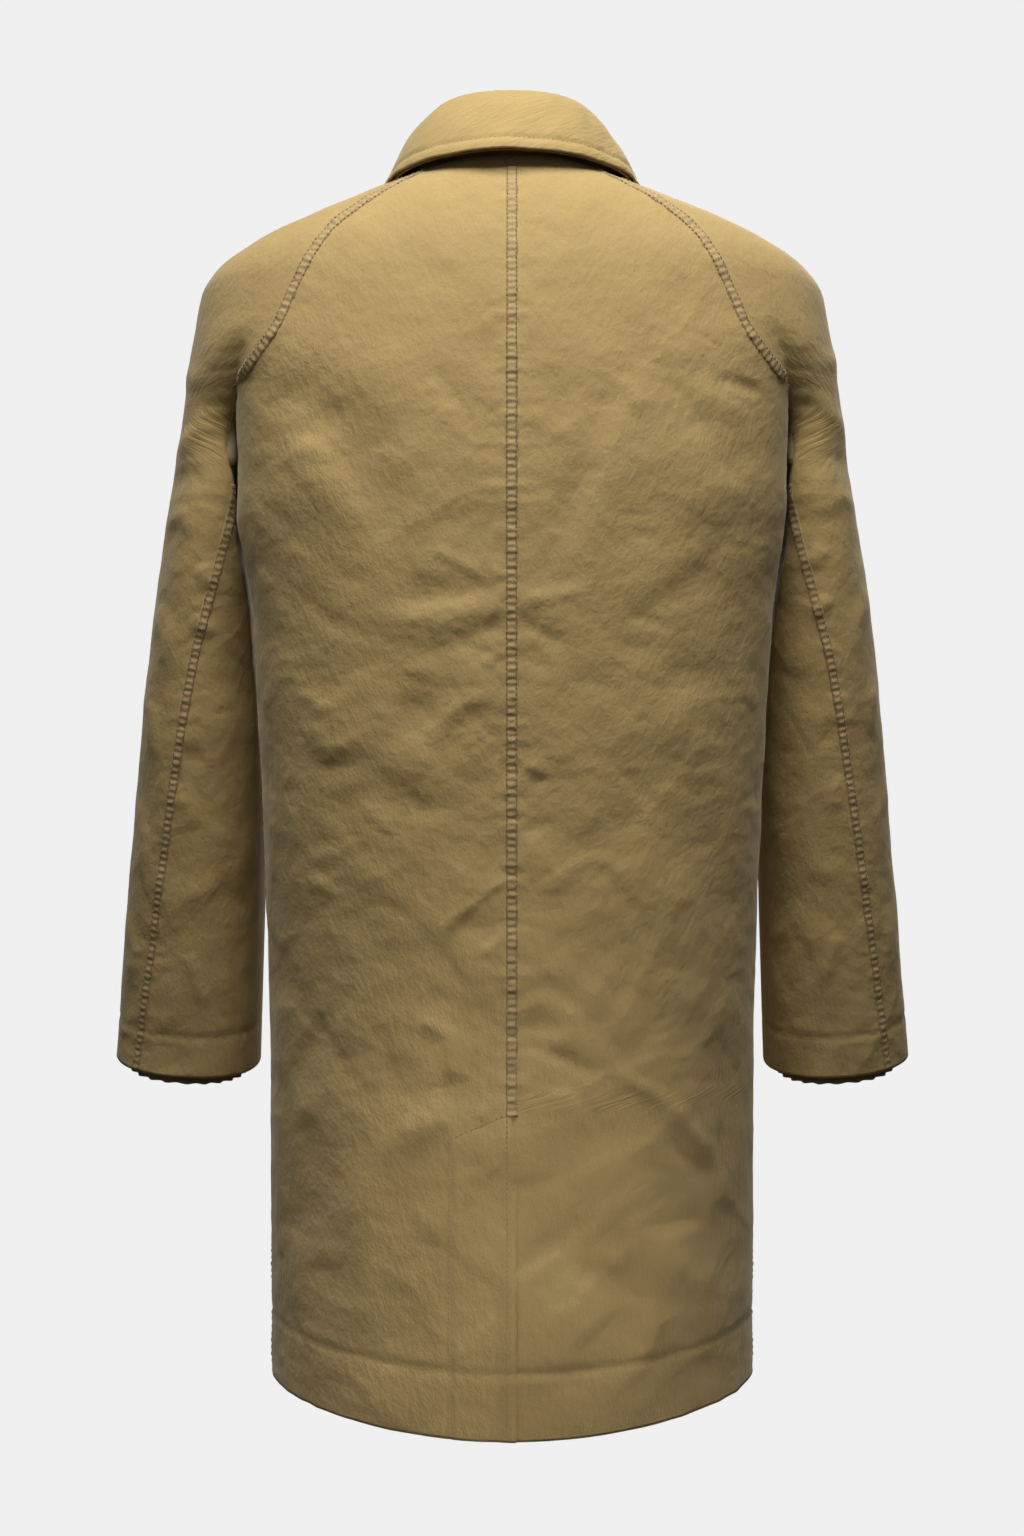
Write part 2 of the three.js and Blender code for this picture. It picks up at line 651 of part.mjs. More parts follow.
// ---- Buttons ------------------------------------------------------------------------------------
// Dished four-hole buttons on the right front, under the left one.
const wasm = await Module();
wasm.setup();
const { Manifold, Mesh } = wasm;
function toManifold(geometry) {
  const plain = geometry.index ? geometry.clone() : geometry;
  plain.deleteAttribute("normal");
  plain.deleteAttribute("uv");
  const welded = mergeVertices(plain, 1e-4);
  return new Manifold(new Mesh({
    numProp: 3,
    vertProperties: new Float32Array(welded.attributes.position.array),
    triVerts: new Uint32Array(welded.index.array),
  }));
}
function fromManifold(solid) {
  const mesh = solid.getMesh();
  const geometry = new THREE.BufferGeometry();
  geometry.setAttribute("position", new THREE.BufferAttribute(mesh.vertProperties, 3));
  geometry.setIndex(new THREE.BufferAttribute(mesh.triVerts, 1));
  return facingOut(geometry);
}
function button() {
  const r = BUTTON_RADIUS;
  const t = BUTTON_THICKNESS;
  const profile = [
    [0, 0], [r - 1.2, 0], [r, 0.8], [r, t - 0.7], [r - 0.8, t], [r - 2.2, t], [r - 3.4, t - 0.9], [0, t - 0.9],
  ].map(([x, y]) => new THREE.Vector2(x, y));
  let solid = toManifold(new THREE.LatheGeometry(profile, 18));
  for (const [x, z] of [[1, 1], [1, -1], [-1, 1], [-1, -1]]) {
    const hole = new THREE.CylinderGeometry(BUTTON_HOLE_RADIUS, BUTTON_HOLE_RADIUS, t * 3, 6);
    hole.translate(x * BUTTON_HOLE_PITCH, 0, z * BUTTON_HOLE_PITCH);
    solid = solid.subtract(toManifold(hole));
  }
  return fromManifold(solid);
}
for (let i = 0; i < BUTTON_COUNT; i += 1) {
  const depth = BUTTON_TOP + BUTTON_SPACING * i;
  const seat = (d, x) => bodyAtX(d, x, false, UNDERLAP_DEPTH);
  const normal = seat(depth, 4).sub(seat(depth, -4)).cross(seat(depth + 4, 0).sub(seat(depth - 4, 0)));
  normal.normalize();
  if (normal.y > 0) normal.negate();
  const geometry = button();
  geometry.applyQuaternion(new THREE.Quaternion().setFromUnitVectors(new THREE.Vector3(0, 1, 0), normal));
  const place = seat(depth, 0).addScaledVector(normal, LAYER_GAP);
  geometry.translate(place.x, place.y, place.z);
  add(`button_${i + 1}`, geometry, HORN);
}

// ---- Pockets ------------------------------------------------------------------------------------
const weltX = (t) => WELT_TOP_X + WELT_LEAN * t;
addPair("pocket_welt", cloth({
  outer: (u, v) => {
    const depth = WELT_TOP + WELT_LENGTH * v + WELT_SKEW * u;
    return bodyAtX(depth, weltX(v) + (u - 0.5) * WELT_WIDTH, false, -(WELT_THICKNESS + LAYER_GAP));
  },
  core: bodyCore,
  columns: 4,
  rows: 8,
  thickness: WELT_THICKNESS,
}), KHAKI);
addPair("pocket_bag", cloth({
  outer: (u, v) => {
    const depth = mix(WELT_TOP + 10, WELT_TOP + WELT_LENGTH + POCKET_DROP, v);
    const x = WELT_TOP_X + 2 + (u - 0.5) * POCKET_BAG_WIDTH * (1 - 0.3 * (2 * v - 1) ** 2);
    return bodyAtX(depth, x, false, POCKET_INSET);
  },
  core: bodyCore,
  columns: 4,
  rows: 7,
  thickness: POCKET_BAG,
}), LINING_CLOTH);

// ---- Sleeves ------------------------------------------------------------------------------------
// A sleeve bends where it swings, so it is cut along a cylinder round the hinge line.
function swingCut(turn, gap) {
  let depth = SWING_DEPTH + SWING_RADIUS;
  for (let k = 0; k < 6; k += 1) {
    const y = sleevePoint(depth, turn).y - SWING_Y;
    depth = SWING_DEPTH + gap + Math.sqrt(SWING_RADIUS ** 2 - Math.min(Math.abs(y), SWING_RADIUS - 8) ** 2);
  }
  return depth;
}
const headTurn = (u) => mix(HEAD_MARGIN, 1 - HEAD_MARGIN, u);
addPair("sleeve_head", cloth({
  outer: (u, v) => sleevePoint(mix(NECK_SIDE_DROP, swingCut(headTurn(u), -CUT_GAP), v), headTurn(u)),
  core: sleeveHeadCore,
  columns: 12,
  rows: 14,
  thickness: SHELL,
}), KHAKI);
function sleeveHeadCore(p) {
  const depth = Math.max(-p.z, CREASE_DEPTH);
  return new THREE.Vector3(Math.min(p.x * 0.7, sleeveOuter(depth) - sleeveHalf(depth) + 6), -15, -depth - 20);
}
addPair("sleeve_head_lining", cloth({
  outer: (u, v) => {
    const margin = mix(0.04, 0.28, smooth((v - 0.3) / 0.3));
    const turn = mix(margin, 1 - margin, u);
    const bottom = Math.min(200, swingCut(turn, -CUT_GAP - 4));
    return sleevePoint(mix(NECK_SIDE_DROP + 6, bottom, v), turn);
  },
  core: sleeveHeadCore,
  columns: 12,
  rows: 14,
  deep: SLEEVE_LINING_DEPTH,
  thickness: LINING,
}), LINING_CLOTH);

// Two panels below the cut: the seam at the back of the arm runs outwards as it goes down.
const hindSeam = through([
  [UNDERARM_DEPTH, 0.17],
  [385, 0.267],
  [SLEEVE_HEM_DEPTH, 0.356],
]);
const foreSeam = through([
  [UNDERARM_DEPTH, 0.82],
  [SLEEVE_HEM_DEPTH, 0.74],
]);
function sleevePanel(start, end, columns) {
  const turnAt = (u, depth) => mix(start(depth) + PANEL_MARGIN, end(depth) - PANEL_MARGIN, u);
  return cloth({
    outer: (u, v) => {
      let depth = mix(300, SLEEVE_HEM_DEPTH, v);
      for (let k = 0; k < 4; k += 1) {
        depth = mix(swingCut(turnAt(u, depth), CUT_GAP), SLEEVE_HEM_DEPTH, v);
      }
      return sleevePoint(depth, turnAt(u, depth) % 1);
    },
    core: sleeveCore,
    columns,
    rows: 12,
    thickness: (u, v) => (v > 0.93 ? SHELL * 2 : SHELL),
  });
}
addPair("sleeve_upper", sleevePanel(hindSeam, foreSeam, 7), KHAKI);
addPair("sleeve_under", sleevePanel(foreSeam, (d) => 1 + hindSeam(d), 7), KHAKI);
addPair("sleeve_lining", cloth({
  outer: (u, v) => {
    const top = swingCut(((u % 1) + 1) % 1, CUT_GAP + 9);
    return sleevePoint(mix(top, SLEEVE_HEM_DEPTH - 40, v), ((u % 1) + 1) % 1, SLEEVE_LINING_DEPTH + 1);
  },
  core: sleeveCore,
  columns: 12,
  rows: 8,
  thickness: LINING,
  wrapped: true,
}), LINING_CLOTH);

// The storm cuff is gathered, so its wall waves.
addPair("storm_cuff", cloth({
  outer: (u, v) => {
    const depth = mix(SLEEVE_HEM_DEPTH - STORM_CUFF_LENGTH, SLEEVE_HEM_DEPTH + STORM_CUFF_SHOWS, v);
    const ripple = (STORM_CUFF_RIPPLE / 2) * (1 + Math.cos(Math.PI * 2 * STORM_CUFF_GATHERS * u));
    return sleevePoint(depth, ((u % 1) + 1) % 1, SLEEVE_HEM_HALF - STORM_CUFF_HALF + ripple);
  },
  core: sleeveCore,
  columns: 2 * STORM_CUFF_GATHERS,
  rows: 2,
  thickness: LINING,
  wrapped: true,
}), KHAKI_DARK);

// ---- Back lining --------------------------------------------------------------------------------
addPair("back_lining", cloth({
  outer: (u, v) => {
    const depth = backRow(v * LINING_ROWS);
    const from = mix(half, VENT_WIDTH + 6, ventSlant(depth));
    return bodyPoint(depth, u * LINING_SHARE, true, from);
  },
  core: bodyCore,
  columns: 6,
  rows: LINING_ROWS,
  deep: LINING_DEPTH,
  thickness: LINING,
}), LINING_CLOTH);

// ---- Collar -------------------------------------------------------------------------------------
// The stand rises from the neck seam to the fold; the leaf falls from the fold over the neck seam.
const neckPoint = (phi, inset) => ringPoint(ring(NECK_SIDE_DROP, "yoke", inset), phi);
const standTurn = (u) => mix(STAND_FROM, Math.PI - STAND_FROM, u);
function foldPoint(phi) {
  const ahead = clamp((1 - Math.sin(phi)) / 2);
  const y = ROLL_MIDDLE + (Math.sin(phi) > 0 ? ROLL_BACK : ROLL_FRONT) * Math.abs(Math.sin(phi)) ** 0.9;
  const x = ROLL_HALF_WIDTH * Math.sign(Math.cos(phi)) * Math.abs(Math.cos(phi)) ** 0.9;
  const z = neckPoint(phi, 0).z + mix(STAND_HEIGHT, STAND_FRONT_HEIGHT, smooth(ahead));
  return new THREE.Vector3(x, y, z);
}
const collarCore = (p) => new THREE.Vector3(0, 5, p.z - 30);
add("collar_stand", cloth({
  outer: (u, v) => {
    const phi = standTurn(u);
    const base = neckPoint(phi, 2.6).add(new THREE.Vector3(0, 0, 3.5));
    const top = foldPoint(phi);
    top.z -= LEAF_THICKNESS * 2 + 3;
    return base.lerp(top, v);
  },
  core: (p) => new THREE.Vector3(0, 5, p.z),
  columns: 24,
  rows: 2,
  thickness: 1.6,
}), KHAKI);

const leafEdgeDepth = through([
  [-78, 50],
  [-45, 30],
  [0, LEAF_SIDE_DEPTH],
  [90, LEAF_BACK_DEPTH],
]);
const leafLift = through([
  [-78, 3],
  [0, 4],
  [90, 17],
]);
function leafPoint(u, v, inset) {
  const phi = standTurn(u);
  const degrees = THREE.MathUtils.radToDeg(phi > Math.PI / 2 ? Math.PI - phi : phi);
  const top = foldPoint(phi);
  const edge = ringPoint(ring(leafEdgeDepth(degrees), "yoke"), phi);
  const away = new THREE.Vector3(Math.cos(phi), Math.sin(phi), 0).multiplyScalar(leafLift(degrees));
  edge.add(away).add(new THREE.Vector3(0, 0, 3));
  const out = new THREE.Vector3(Math.cos(phi), Math.sin(phi), 0.25).multiplyScalar(LEAF_ROUND);
  const knee = top.clone().lerp(edge, 0.35).add(out);
  const a = top.clone().lerp(knee, v);
  const b = knee.lerp(edge, v);
  const p = a.lerp(b, v);
  const shift = new THREE.Vector3(Math.cos(phi), Math.sin(phi), 0.9).normalize();
  return p.addScaledVector(shift, -inset);
}
const leafCore = (p) => new THREE.Vector3(0, 5, p.z - 60);
for (const [name, inset, thickness] of [
  ["collar_leaf", 0, LEAF_THICKNESS],
  ["under_collar", LEAF_THICKNESS + LAYER_GAP * 2.6, LEAF_THICKNESS * 0.8],
]) {
  add(name, cloth({
    outer: (u, v) => leafPoint(u, inset ? mix(0.1, 0.97, v) : v, inset),
    core: leafCore,
    columns: 26,
    rows: 4,
    thickness,
  }), inset ? KHAKI_DARK : KHAKI);
}

// ---- Hanger loop and label ----------------------------------------------------------------------
// A flat strip in a U under the back of the neck, sewn at both ends, and a plain woven label.
const LOOP_Y = NECK_BACK - LOOP_AHEAD;
{
  const [w, h, b] = [LOOP_SPAN / 2, LOOP_DROP, LOOP_WIDTH];
  const shape = new THREE.Shape([
    [-w, 0], [-w, -h + 6], [-w + 6, -h], [w - 6, -h], [w, -h + 6], [w, 0],
    [w - b, 0], [w - b, -h + b], [-w + b, -h + b], [-w + b, 0],
  ].map(([x, y]) => new THREE.Vector2(x, y)));
  const geometry = new THREE.ExtrudeGeometry(shape, { depth: LOOP_THICKNESS, bevelEnabled: false });
  geometry.rotateX(Math.PI / 2);
  geometry.translate(0, LOOP_Y, LOOP_TOP);
  add("hanger_loop", geometry, KHAKI_DARK);
  const label = new THREE.BoxGeometry(LABEL_WIDTH, LABEL_THICKNESS, LABEL_HEIGHT);
  label.translate(0, LOOP_Y + LOOP_THICKNESS / 2, LABEL_Z);
  add("neck_label", label, LABEL_CLOTH);
}

export default group;
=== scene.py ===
# %% [markdown]
# # A raglan raincoat in washed cotton
# The coat hangs as if somebody wore it, but it is empty. Its solids for simulation come from the CAD
# model; here each cut piece of cloth gets its folds, seams, stitches and weave. Everything is made in
# the frame of those solids: metres, +Z up, the front faces -Y and the wearer's left is +X. The origin
# is the middle of the neck opening, level with the nape.

# %% Load the frame
import itertools
from math import pi, radians

import bpy
import numpy as np
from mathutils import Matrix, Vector


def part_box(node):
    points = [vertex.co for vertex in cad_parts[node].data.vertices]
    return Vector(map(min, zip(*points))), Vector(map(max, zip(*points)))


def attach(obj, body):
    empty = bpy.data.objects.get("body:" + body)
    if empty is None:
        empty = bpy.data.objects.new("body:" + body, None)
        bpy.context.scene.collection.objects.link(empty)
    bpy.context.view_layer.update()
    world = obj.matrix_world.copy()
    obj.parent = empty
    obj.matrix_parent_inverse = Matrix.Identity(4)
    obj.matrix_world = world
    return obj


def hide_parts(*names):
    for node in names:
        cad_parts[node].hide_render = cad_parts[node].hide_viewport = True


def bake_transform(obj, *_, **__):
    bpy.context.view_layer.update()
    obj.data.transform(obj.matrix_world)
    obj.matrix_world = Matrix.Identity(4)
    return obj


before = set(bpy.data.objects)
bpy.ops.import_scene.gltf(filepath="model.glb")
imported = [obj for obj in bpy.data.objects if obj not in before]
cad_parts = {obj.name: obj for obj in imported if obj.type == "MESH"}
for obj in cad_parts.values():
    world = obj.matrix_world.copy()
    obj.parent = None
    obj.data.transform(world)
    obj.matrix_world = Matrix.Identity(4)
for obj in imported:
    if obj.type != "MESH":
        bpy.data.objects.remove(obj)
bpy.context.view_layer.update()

# %% [markdown]
# ## Camera
# The camera looks level at the middle of the back, so it stands behind the coat, on the +Y side. A
# long lens from over two metres away keeps the coat's width true. An orthographic camera would too,
# but it would lose how the sleeves turn away.

# %% Camera
LENS, CAMERA_AWAY, CAMERA_HEIGHT = 64.5, 2.1, -0.4506
camera = bpy.data.objects.new("camera", bpy.data.cameras.new("camera"))
bpy.context.scene.collection.objects.link(camera)
camera.data.lens = LENS
camera.location = (0, CAMERA_AWAY, CAMERA_HEIGHT)
camera.rotation_euler = (radians(90), 0, pi)
bpy.context.scene.camera = camera
print("camera stands", CAMERA_AWAY, "m behind the middle of the coat")

# %% [markdown]
# ## The shape of the coat
# A coat on a form has level sections that change slowly from neck to hem. Each section here is a
# ring made of two half superellipses, one behind and one ahead, and each size of the ring is a
# smooth curve down the coat. It could be sculpted instead, but a formula lets every cloth, seam and
# stitch find its own place on the same surface. Depth counts down from the nape, in millimetres
# because that is how a cutter measures; a cloth is turned to metres when its mesh is made.

# %% Sizes from the cutting table
MM = 0.001
COAT_LENGTH, HEM_TAIL = 926, 20
HEM_DEPTH = COAT_LENGTH - HEM_TAIL
HEM_HALF_WIDTH, CHEST_HALF_WIDTH, SHOULDER_HALF_WIDTH = 182.5, 206, 235
SHOULDER_DROP = 79
NECK_HALF_WIDTH, NECK_BACK, NECK_FRONT = 78, 78, -62
NECK_SIDE_DROP, NECK_FRONT_DROP = 8, 72
CHEST_BACK, CHEST_FRONT, HEM_BACK, HEM_FRONT = 146, -133, 160, -160
CREASE_DEPTH, UNDERARM_DEPTH = 168, 225
CREASE_X, CREASE_FRONT_X, RAGLAN_NECK_X = 204, 172, 58
SLEEVE_HEM_DEPTH, SLEEVE_TOP_OUTER, SLEEVE_HEM_OUTER = 674, 259, 308
SLEEVE_HEM_HALF, SLEEVE_TOP_REACH, SLEEVE_HEM_REACH = 56, 82, 50
SLEEVE_CLEARANCE = 4
VENT_TOP, VENT_SLANT, VENT_WIDTH, VENT_PAST_CENTRE, VENT_BEND_TOP = 695, 20, 46, 3, 712
HEM_BAND = 45
SHELL, LINING, LINING_DEPTH = 1.2, 0.8, 7
SQUARENESS = 2.3


# %% Curves down the coat
def mix(a, b, t):
    return a + (b - a) * t


def smooth(t):
    t = np.clip(t, 0, 1)
    return t * t * (3 - 2 * t)


def through(*pairs):
    """A smooth curve through (place, value) pairs that never overshoots them."""
    place, value = np.array(pairs, float).T
    width = np.diff(place)
    slope = np.diff(value) / width
    inner = [0 if a * b <= 0 else 2 * a * b / (a + b) for a, b in zip(slope, slope[1:])]
    tangent = np.array([slope[0], *inner, slope[-1]])

    def curve(at):
        at = np.clip(np.asarray(at, float), place[0], place[-1])
        i = np.clip(np.searchsorted(place, at) - 1, 0, len(width) - 1)
        t = (at - place[i]) / width[i]
        start = value[i] * (1 + 2 * t) * (1 - t) ** 2 + tangent[i] * width[i] * t * (1 - t) ** 2
        return start + value[i + 1] * t * t * (3 - 2 * t) + tangent[i + 1] * width[i] * t * t * (t - 1)

    return curve


SHOULDER_DEPTH = NECK_SIDE_DROP + SHOULDER_DROP
shoulder = [
    (NECK_SIDE_DROP + SHOULDER_DROP * share, mix(NECK_HALF_WIDTH, SHOULDER_HALF_WIDTH, out))
    for share, out in ((0, 0), (0.2, 0.3), (0.4, 0.58), (0.6, 0.8), (0.8, 0.945), (1, 1.01))
]
yoke_width = through(
    *shoulder,
    (SHOULDER_DEPTH + 31, SHOULDER_HALF_WIDTH + 7),
    (SHOULDER_DEPTH + 86, SHOULDER_HALF_WIDTH + 16),
)
torso_width = through(
    (CREASE_DEPTH, CHEST_HALF_WIDTH),
    (250, CHEST_HALF_WIDTH - 1),
    (338, mix(CHEST_HALF_WIDTH, HEM_HALF_WIDTH, 0.5)),
    (500, mix(CHEST_HALF_WIDTH, HEM_HALF_WIDTH, 0.83)),
    (640, HEM_HALF_WIDTH),
)
back_line = through(
    (NECK_SIDE_DROP, NECK_BACK),
    (43, mix(NECK_BACK, CHEST_BACK, 0.38)),
    (91, mix(NECK_BACK, CHEST_BACK, 0.68)),
    (CREASE_DEPTH, mix(NECK_BACK, CHEST_BACK, 0.9)),
    (250, CHEST_BACK),
    (640, mix(CHEST_BACK, HEM_BACK, 0.45)),
    (HEM_DEPTH, HEM_BACK),
)
front_line = through(
    (NECK_SIDE_DROP, NECK_FRONT),
    (43, mix(NECK_FRONT, CHEST_FRONT, 0.31)),
    (91, mix(NECK_FRONT, CHEST_FRONT, 0.59)),
    (CREASE_DEPTH, mix(NECK_FRONT, CHEST_FRONT, 0.86)),
    (250, CHEST_FRONT),
    (400, mix(CHEST_FRONT, HEM_FRONT, 0.33)),
    (HEM_DEPTH, HEM_FRONT),
)
yoke_middle = through((NECK_SIDE_DROP, 8), (91, -6), (CREASE_DEPTH, -8))
torso_middle = through((CREASE_DEPTH, 45), (250, 42), (400, 32), (640, 15), (HEM_DEPTH, 5))
front_drop = through((NECK_SIDE_DROP, NECK_FRONT_DROP), (56, 52), (CREASE_DEPTH, 12), (260, 0))


# %% Rings
class Ring:
    """A level section. A yoke ring takes in the sleeve heads, a torso ring doesn't."""

    def __init__(self, depth, yoke, inset=0):
        self.depth, self.inset = depth, inset
        self.half = (yoke_width(depth) if yoke else torso_width(depth)) - inset
        self.middle = yoke_middle(depth) if yoke else torso_middle(depth)
        self.back = back_line(depth) - inset
        self.front = front_line(depth) + inset
        self.back_power = mix(SQUARENESS, 2, smooth((depth - 400) / 450))
        self.front_power = SQUARENESS if yoke else 2

    def point(self, angle):
        """90 degrees is centre back, 0 the wearer's left and -90 centre front."""
        rear = np.sin(angle) >= 0
        power = 2 / np.where(rear, self.back_power, self.front_power)
        reach = np.where(rear, self.back, self.front) - self.middle
        x = self.half * np.sign(np.cos(angle)) * np.abs(np.cos(angle)) ** power
        y = self.middle + reach * np.abs(np.sin(angle)) ** power
        ahead = np.clip((self.back - y) / (self.back - self.front), 0, 1)
        behind = np.clip((y - self.middle) / (self.back - self.middle), 0, 1)
        high = smooth((CREASE_DEPTH - self.depth) / CREASE_DEPTH)
        nape = NECK_SIDE_DROP * behind**2 * high
        tail = HEM_TAIL * behind**2 * smooth((self.depth - VENT_TOP) / (HEM_DEPTH - VENT_TOP))
        drop = front_drop(self.depth) * ahead**2.5
        z = nape - self.depth - tail - drop - self.inset * high * 0.7
        return np.stack(np.broadcast_arrays(x, y, z), -1)

    def angle_at_x(self, x, rear):
        power = (self.back_power if rear else self.front_power) / 2
        turn = np.arccos(np.clip(np.abs(x) / self.half, 0, 1) ** power)
        return (1 if rear else -1) * np.where(np.asarray(x) < 0, pi - turn, turn)

    def angle_at_y(self, y):
        rear = y >= self.middle
        edge = np.where(rear, self.back, self.front)
        share = np.clip((y - self.middle) / (edge - self.middle), 0, 1)
        power = np.where(rear, self.back_power, self.front_power) / 2
        return np.where(rear, 1, -1) * np.arcsin(share**power)


def raglan(crease_x, *shares):
    inner = [(depth, mix(RAGLAN_NECK_X, crease_x, share)) for depth, share in shares]
    return through((NECK_SIDE_DROP, RAGLAN_NECK_X), *inner, (CREASE_DEPTH, crease_x))


raglan_back = raglan(CREASE_X, (44, 0.39), (65, 0.55), (100, 0.69), (131, 0.79), (153, 0.91))
raglan_front = raglan(CREASE_FRONT_X, (44, 0.42), (80, 0.64), (130, 0.84))
side_seam_y = through((UNDERARM_DEPTH, -22), (HEM_DEPTH, 0))


def edge_angle(ring, rear):
    """Where a body panel ends on a ring: the raglan seam, the armhole, then the side seam."""
    seam = (raglan_back if rear else raglan_front)(ring.depth)
    at_seam = ring.angle_at_x(np.minimum(seam, ring.half - 1), rear)
    under = smooth((ring.depth - CREASE_DEPTH) / (UNDERARM_DEPTH - CREASE_DEPTH))
    return mix(at_seam, ring.angle_at_y(side_seam_y(ring.depth)), under)


def on_body(depth, inset, angle_on):
    """The body's point on both kinds of ring, mixed: yoke above, torso below."""
    rings = Ring(depth, True, inset), Ring(depth, False, inset)
    yoke, torso = (ring.point(angle_on(ring)) for ring in rings)
    return mix(yoke, torso, smooth((depth - 110) / 70)[..., None])


def body_across(depth, across, rear, start=0, inset=0):
    """The wearer's left half: across runs from x = start (0) to the panel's outer edge (1)."""
    return on_body(depth, inset, lambda r: mix(r.angle_at_x(start, rear), edge_angle(r, rear), across))


def body_at_x(depth, x, rear, inset=0):
    return on_body(depth, inset, lambda r: r.angle_at_x(x, rear))


print("chest girth about", round(2 * pi * np.sqrt((CHEST_HALF_WIDTH**2 + CHEST_BACK**2) / 2)), "mm")

# %% [markdown]
# ## The shape of the sleeves
# A raglan sleeve runs to the neck in one piece with the shoulder, so above the underarm it shares
# the yoke's rings, and below it has rings of its own that lean forward and outward as an arm does.

# %% Sleeve rings
sleeve_outer = through(
    (CREASE_DEPTH, SLEEVE_TOP_OUTER - 6),
    (UNDERARM_DEPTH, SLEEVE_TOP_OUTER),
    (338, mix(SLEEVE_TOP_OUTER, SLEEVE_HEM_OUTER, 0.35)),
    (495, mix(SLEEVE_TOP_OUTER, SLEEVE_HEM_OUTER, 0.68)),
    (SLEEVE_HEM_DEPTH, SLEEVE_HEM_OUTER),
)
sleeve_half = through((UNDERARM_DEPTH, 38), (338, 44), (495, 51), (SLEEVE_HEM_DEPTH, SLEEVE_HEM_HALF))
sleeve_reach = through(
    (UNDERARM_DEPTH, SLEEVE_TOP_REACH),
    (338, mix(SLEEVE_TOP_REACH, SLEEVE_HEM_REACH, 0.2)),
    (SLEEVE_HEM_DEPTH, SLEEVE_HEM_REACH),
)
sleeve_middle = through((UNDERARM_DEPTH, -25), (338, -29), (SLEEVE_HEM_DEPTH, -46))
hind_seam = through((UNDERARM_DEPTH, 0.17), (385, 0.267), (SLEEVE_HEM_DEPTH, 0.356))


def sleeve_loop(depth, angle, inset):
    def wave(v):
        return np.sign(v) * np.abs(v) ** 0.9

    half = sleeve_half(depth) - inset
    y = sleeve_middle(depth) + (sleeve_reach(depth) - inset) * wave(np.sin(angle))
    x = sleeve_outer(depth) - inset - half + half * wave(np.cos(angle))
    body = Ring(depth, False)
    touching = body.point(body.angle_at_y(y))[..., 0] + 1.5
    free = smooth((depth - UNDERARM_DEPTH) / 45)
    limit = mix(touching, torso_width(depth) + SLEEVE_CLEARANCE, free) + inset
    low = smooth((depth - 300) / (SLEEVE_HEM_DEPTH - 300))
    lean = 0.25 * (sleeve_middle(depth) - y) + 0.06 * (x - sleeve_outer(depth) + half)
    return np.stack(np.broadcast_arrays(np.maximum(x, limit), y, lean * low - depth), -1)


def on_sleeve(depth, turn, inset=0):
    """turn runs from the rear seam (0) over the outside (0.5) to the front seam (1)."""
    depth, turn = np.broadcast_arrays(np.asarray(depth, float), np.asarray(turn, float))
    under = smooth((depth - CREASE_DEPTH) / (UNDERARM_DEPTH - CREASE_DEPTH))

    def angle_at(t):
        return pi * mix(mix(0.68, 1, under), -mix(0.8, 1, under), t)

    yoke = Ring(depth, True, inset)
    merge = smooth((depth - 110) / (UNDERARM_DEPTH - 110))[..., None]

    def sheet(t):
        arc = yoke.point(mix(edge_angle(yoke, True), edge_angle(yoke, False), t))
        return mix(arc, sleeve_loop(depth, angle_at(t), inset), merge)

    point = sheet(turn)
    for rear, t, share in ((True, 0, 1 - turn), (False, 1, turn)):
        error = body_across(depth, 1, rear, 0, inset) - sheet(t)
        point = point + error * (share**3)[..., None]
    below = (depth >= UNDERARM_DEPTH)[..., None]
    return np.where(below, sleeve_loop(depth, angle_at(turn), inset), point)


hem_girth = 2 * pi * np.hypot(SLEEVE_HEM_HALF, SLEEVE_HEM_REACH) / np.sqrt(2)
print("sleeve hem girth about", round(hem_girth), "mm")

# %% [markdown]
# ## Creases, folds and puckers
# Washed cotton keeps three kinds of relief: broad folds where the coat hangs from the body, creases
# a few centimetres long from the wash, and small puckers beside every seam, because thread shrinks
# more than cloth. A cloth simulation would give folds, but not these folds, so each broad fold is
# listed as a ridge or a valley along a line, and the creases come from noise whose zero lines are
# made sharp. All of it is real relief in the mesh; only the finest crinkle is bump.

# %% Noise and creases
dice = np.random.default_rng(11)
GRADIENTS = dice.normal(size=(256, 3))
GRADIENTS /= np.linalg.norm(GRADIENTS, axis=1, keepdims=True)
SHUFFLE = dice.permutation(256)


def noise(points, size, seed=0):
    """Smooth noise, about -1 to 1, with lumps about size across."""
    at = np.asarray(points, float) / size + 31.7 * seed
    cell = np.floor(at).astype(int)
    inside = at - cell
    weight = inside**3 * (inside * (inside * 6 - 15) + 10)
    total = 0
    for corner in itertools.product((0, 1), repeat=3):
        i, j, k = np.moveaxis(cell + corner, -1, 0) & 255
        pick = SHUFFLE[(SHUFFLE[(SHUFFLE[i] + j) & 255] + k) & 255]
        lift = ((inside - corner) * GRADIENTS[pick]).sum(-1)
        total = total + lift * np.prod(np.where(corner, weight, 1 - weight), -1)
    return total * 1.6


WASH = [(1, 46, 0.75), (-1, 46, 0.75), (1.6, 21, 0.32), (-1.6, 21, 0.32), (0.3, 11, 0.14)]


def creases(points, seed=0):
    """Wash creases in millimetres: sharp lines on both diagonals, between soft crumples."""
    x, y, z = np.moveaxis(points, -1, 0)
    relief = 1.1 * noise(points, 95, seed) + 0.5 * noise(points, 34, seed + 1)
    for slant, size, height in WASH:
        seed += 2
        turned = np.stack([x + slant * z, y * 1.2, (z - slant * x) * 0.5], -1) / np.hypot(1, slant)
        bend = noise(turned, size, seed)
        line = np.clip(1 - np.abs(bend) * 3.2, 0, 1) ** 1.5
        strength = np.sign(slant) * (0.4 + noise(points, 70, seed + 1))
        relief = relief + height * (line * strength + 0.9 * bend)
    return relief


def bump(away, width):
    """1 on a line and nearly 0 at two widths from it."""
    return np.exp(-((away / width) ** 2))


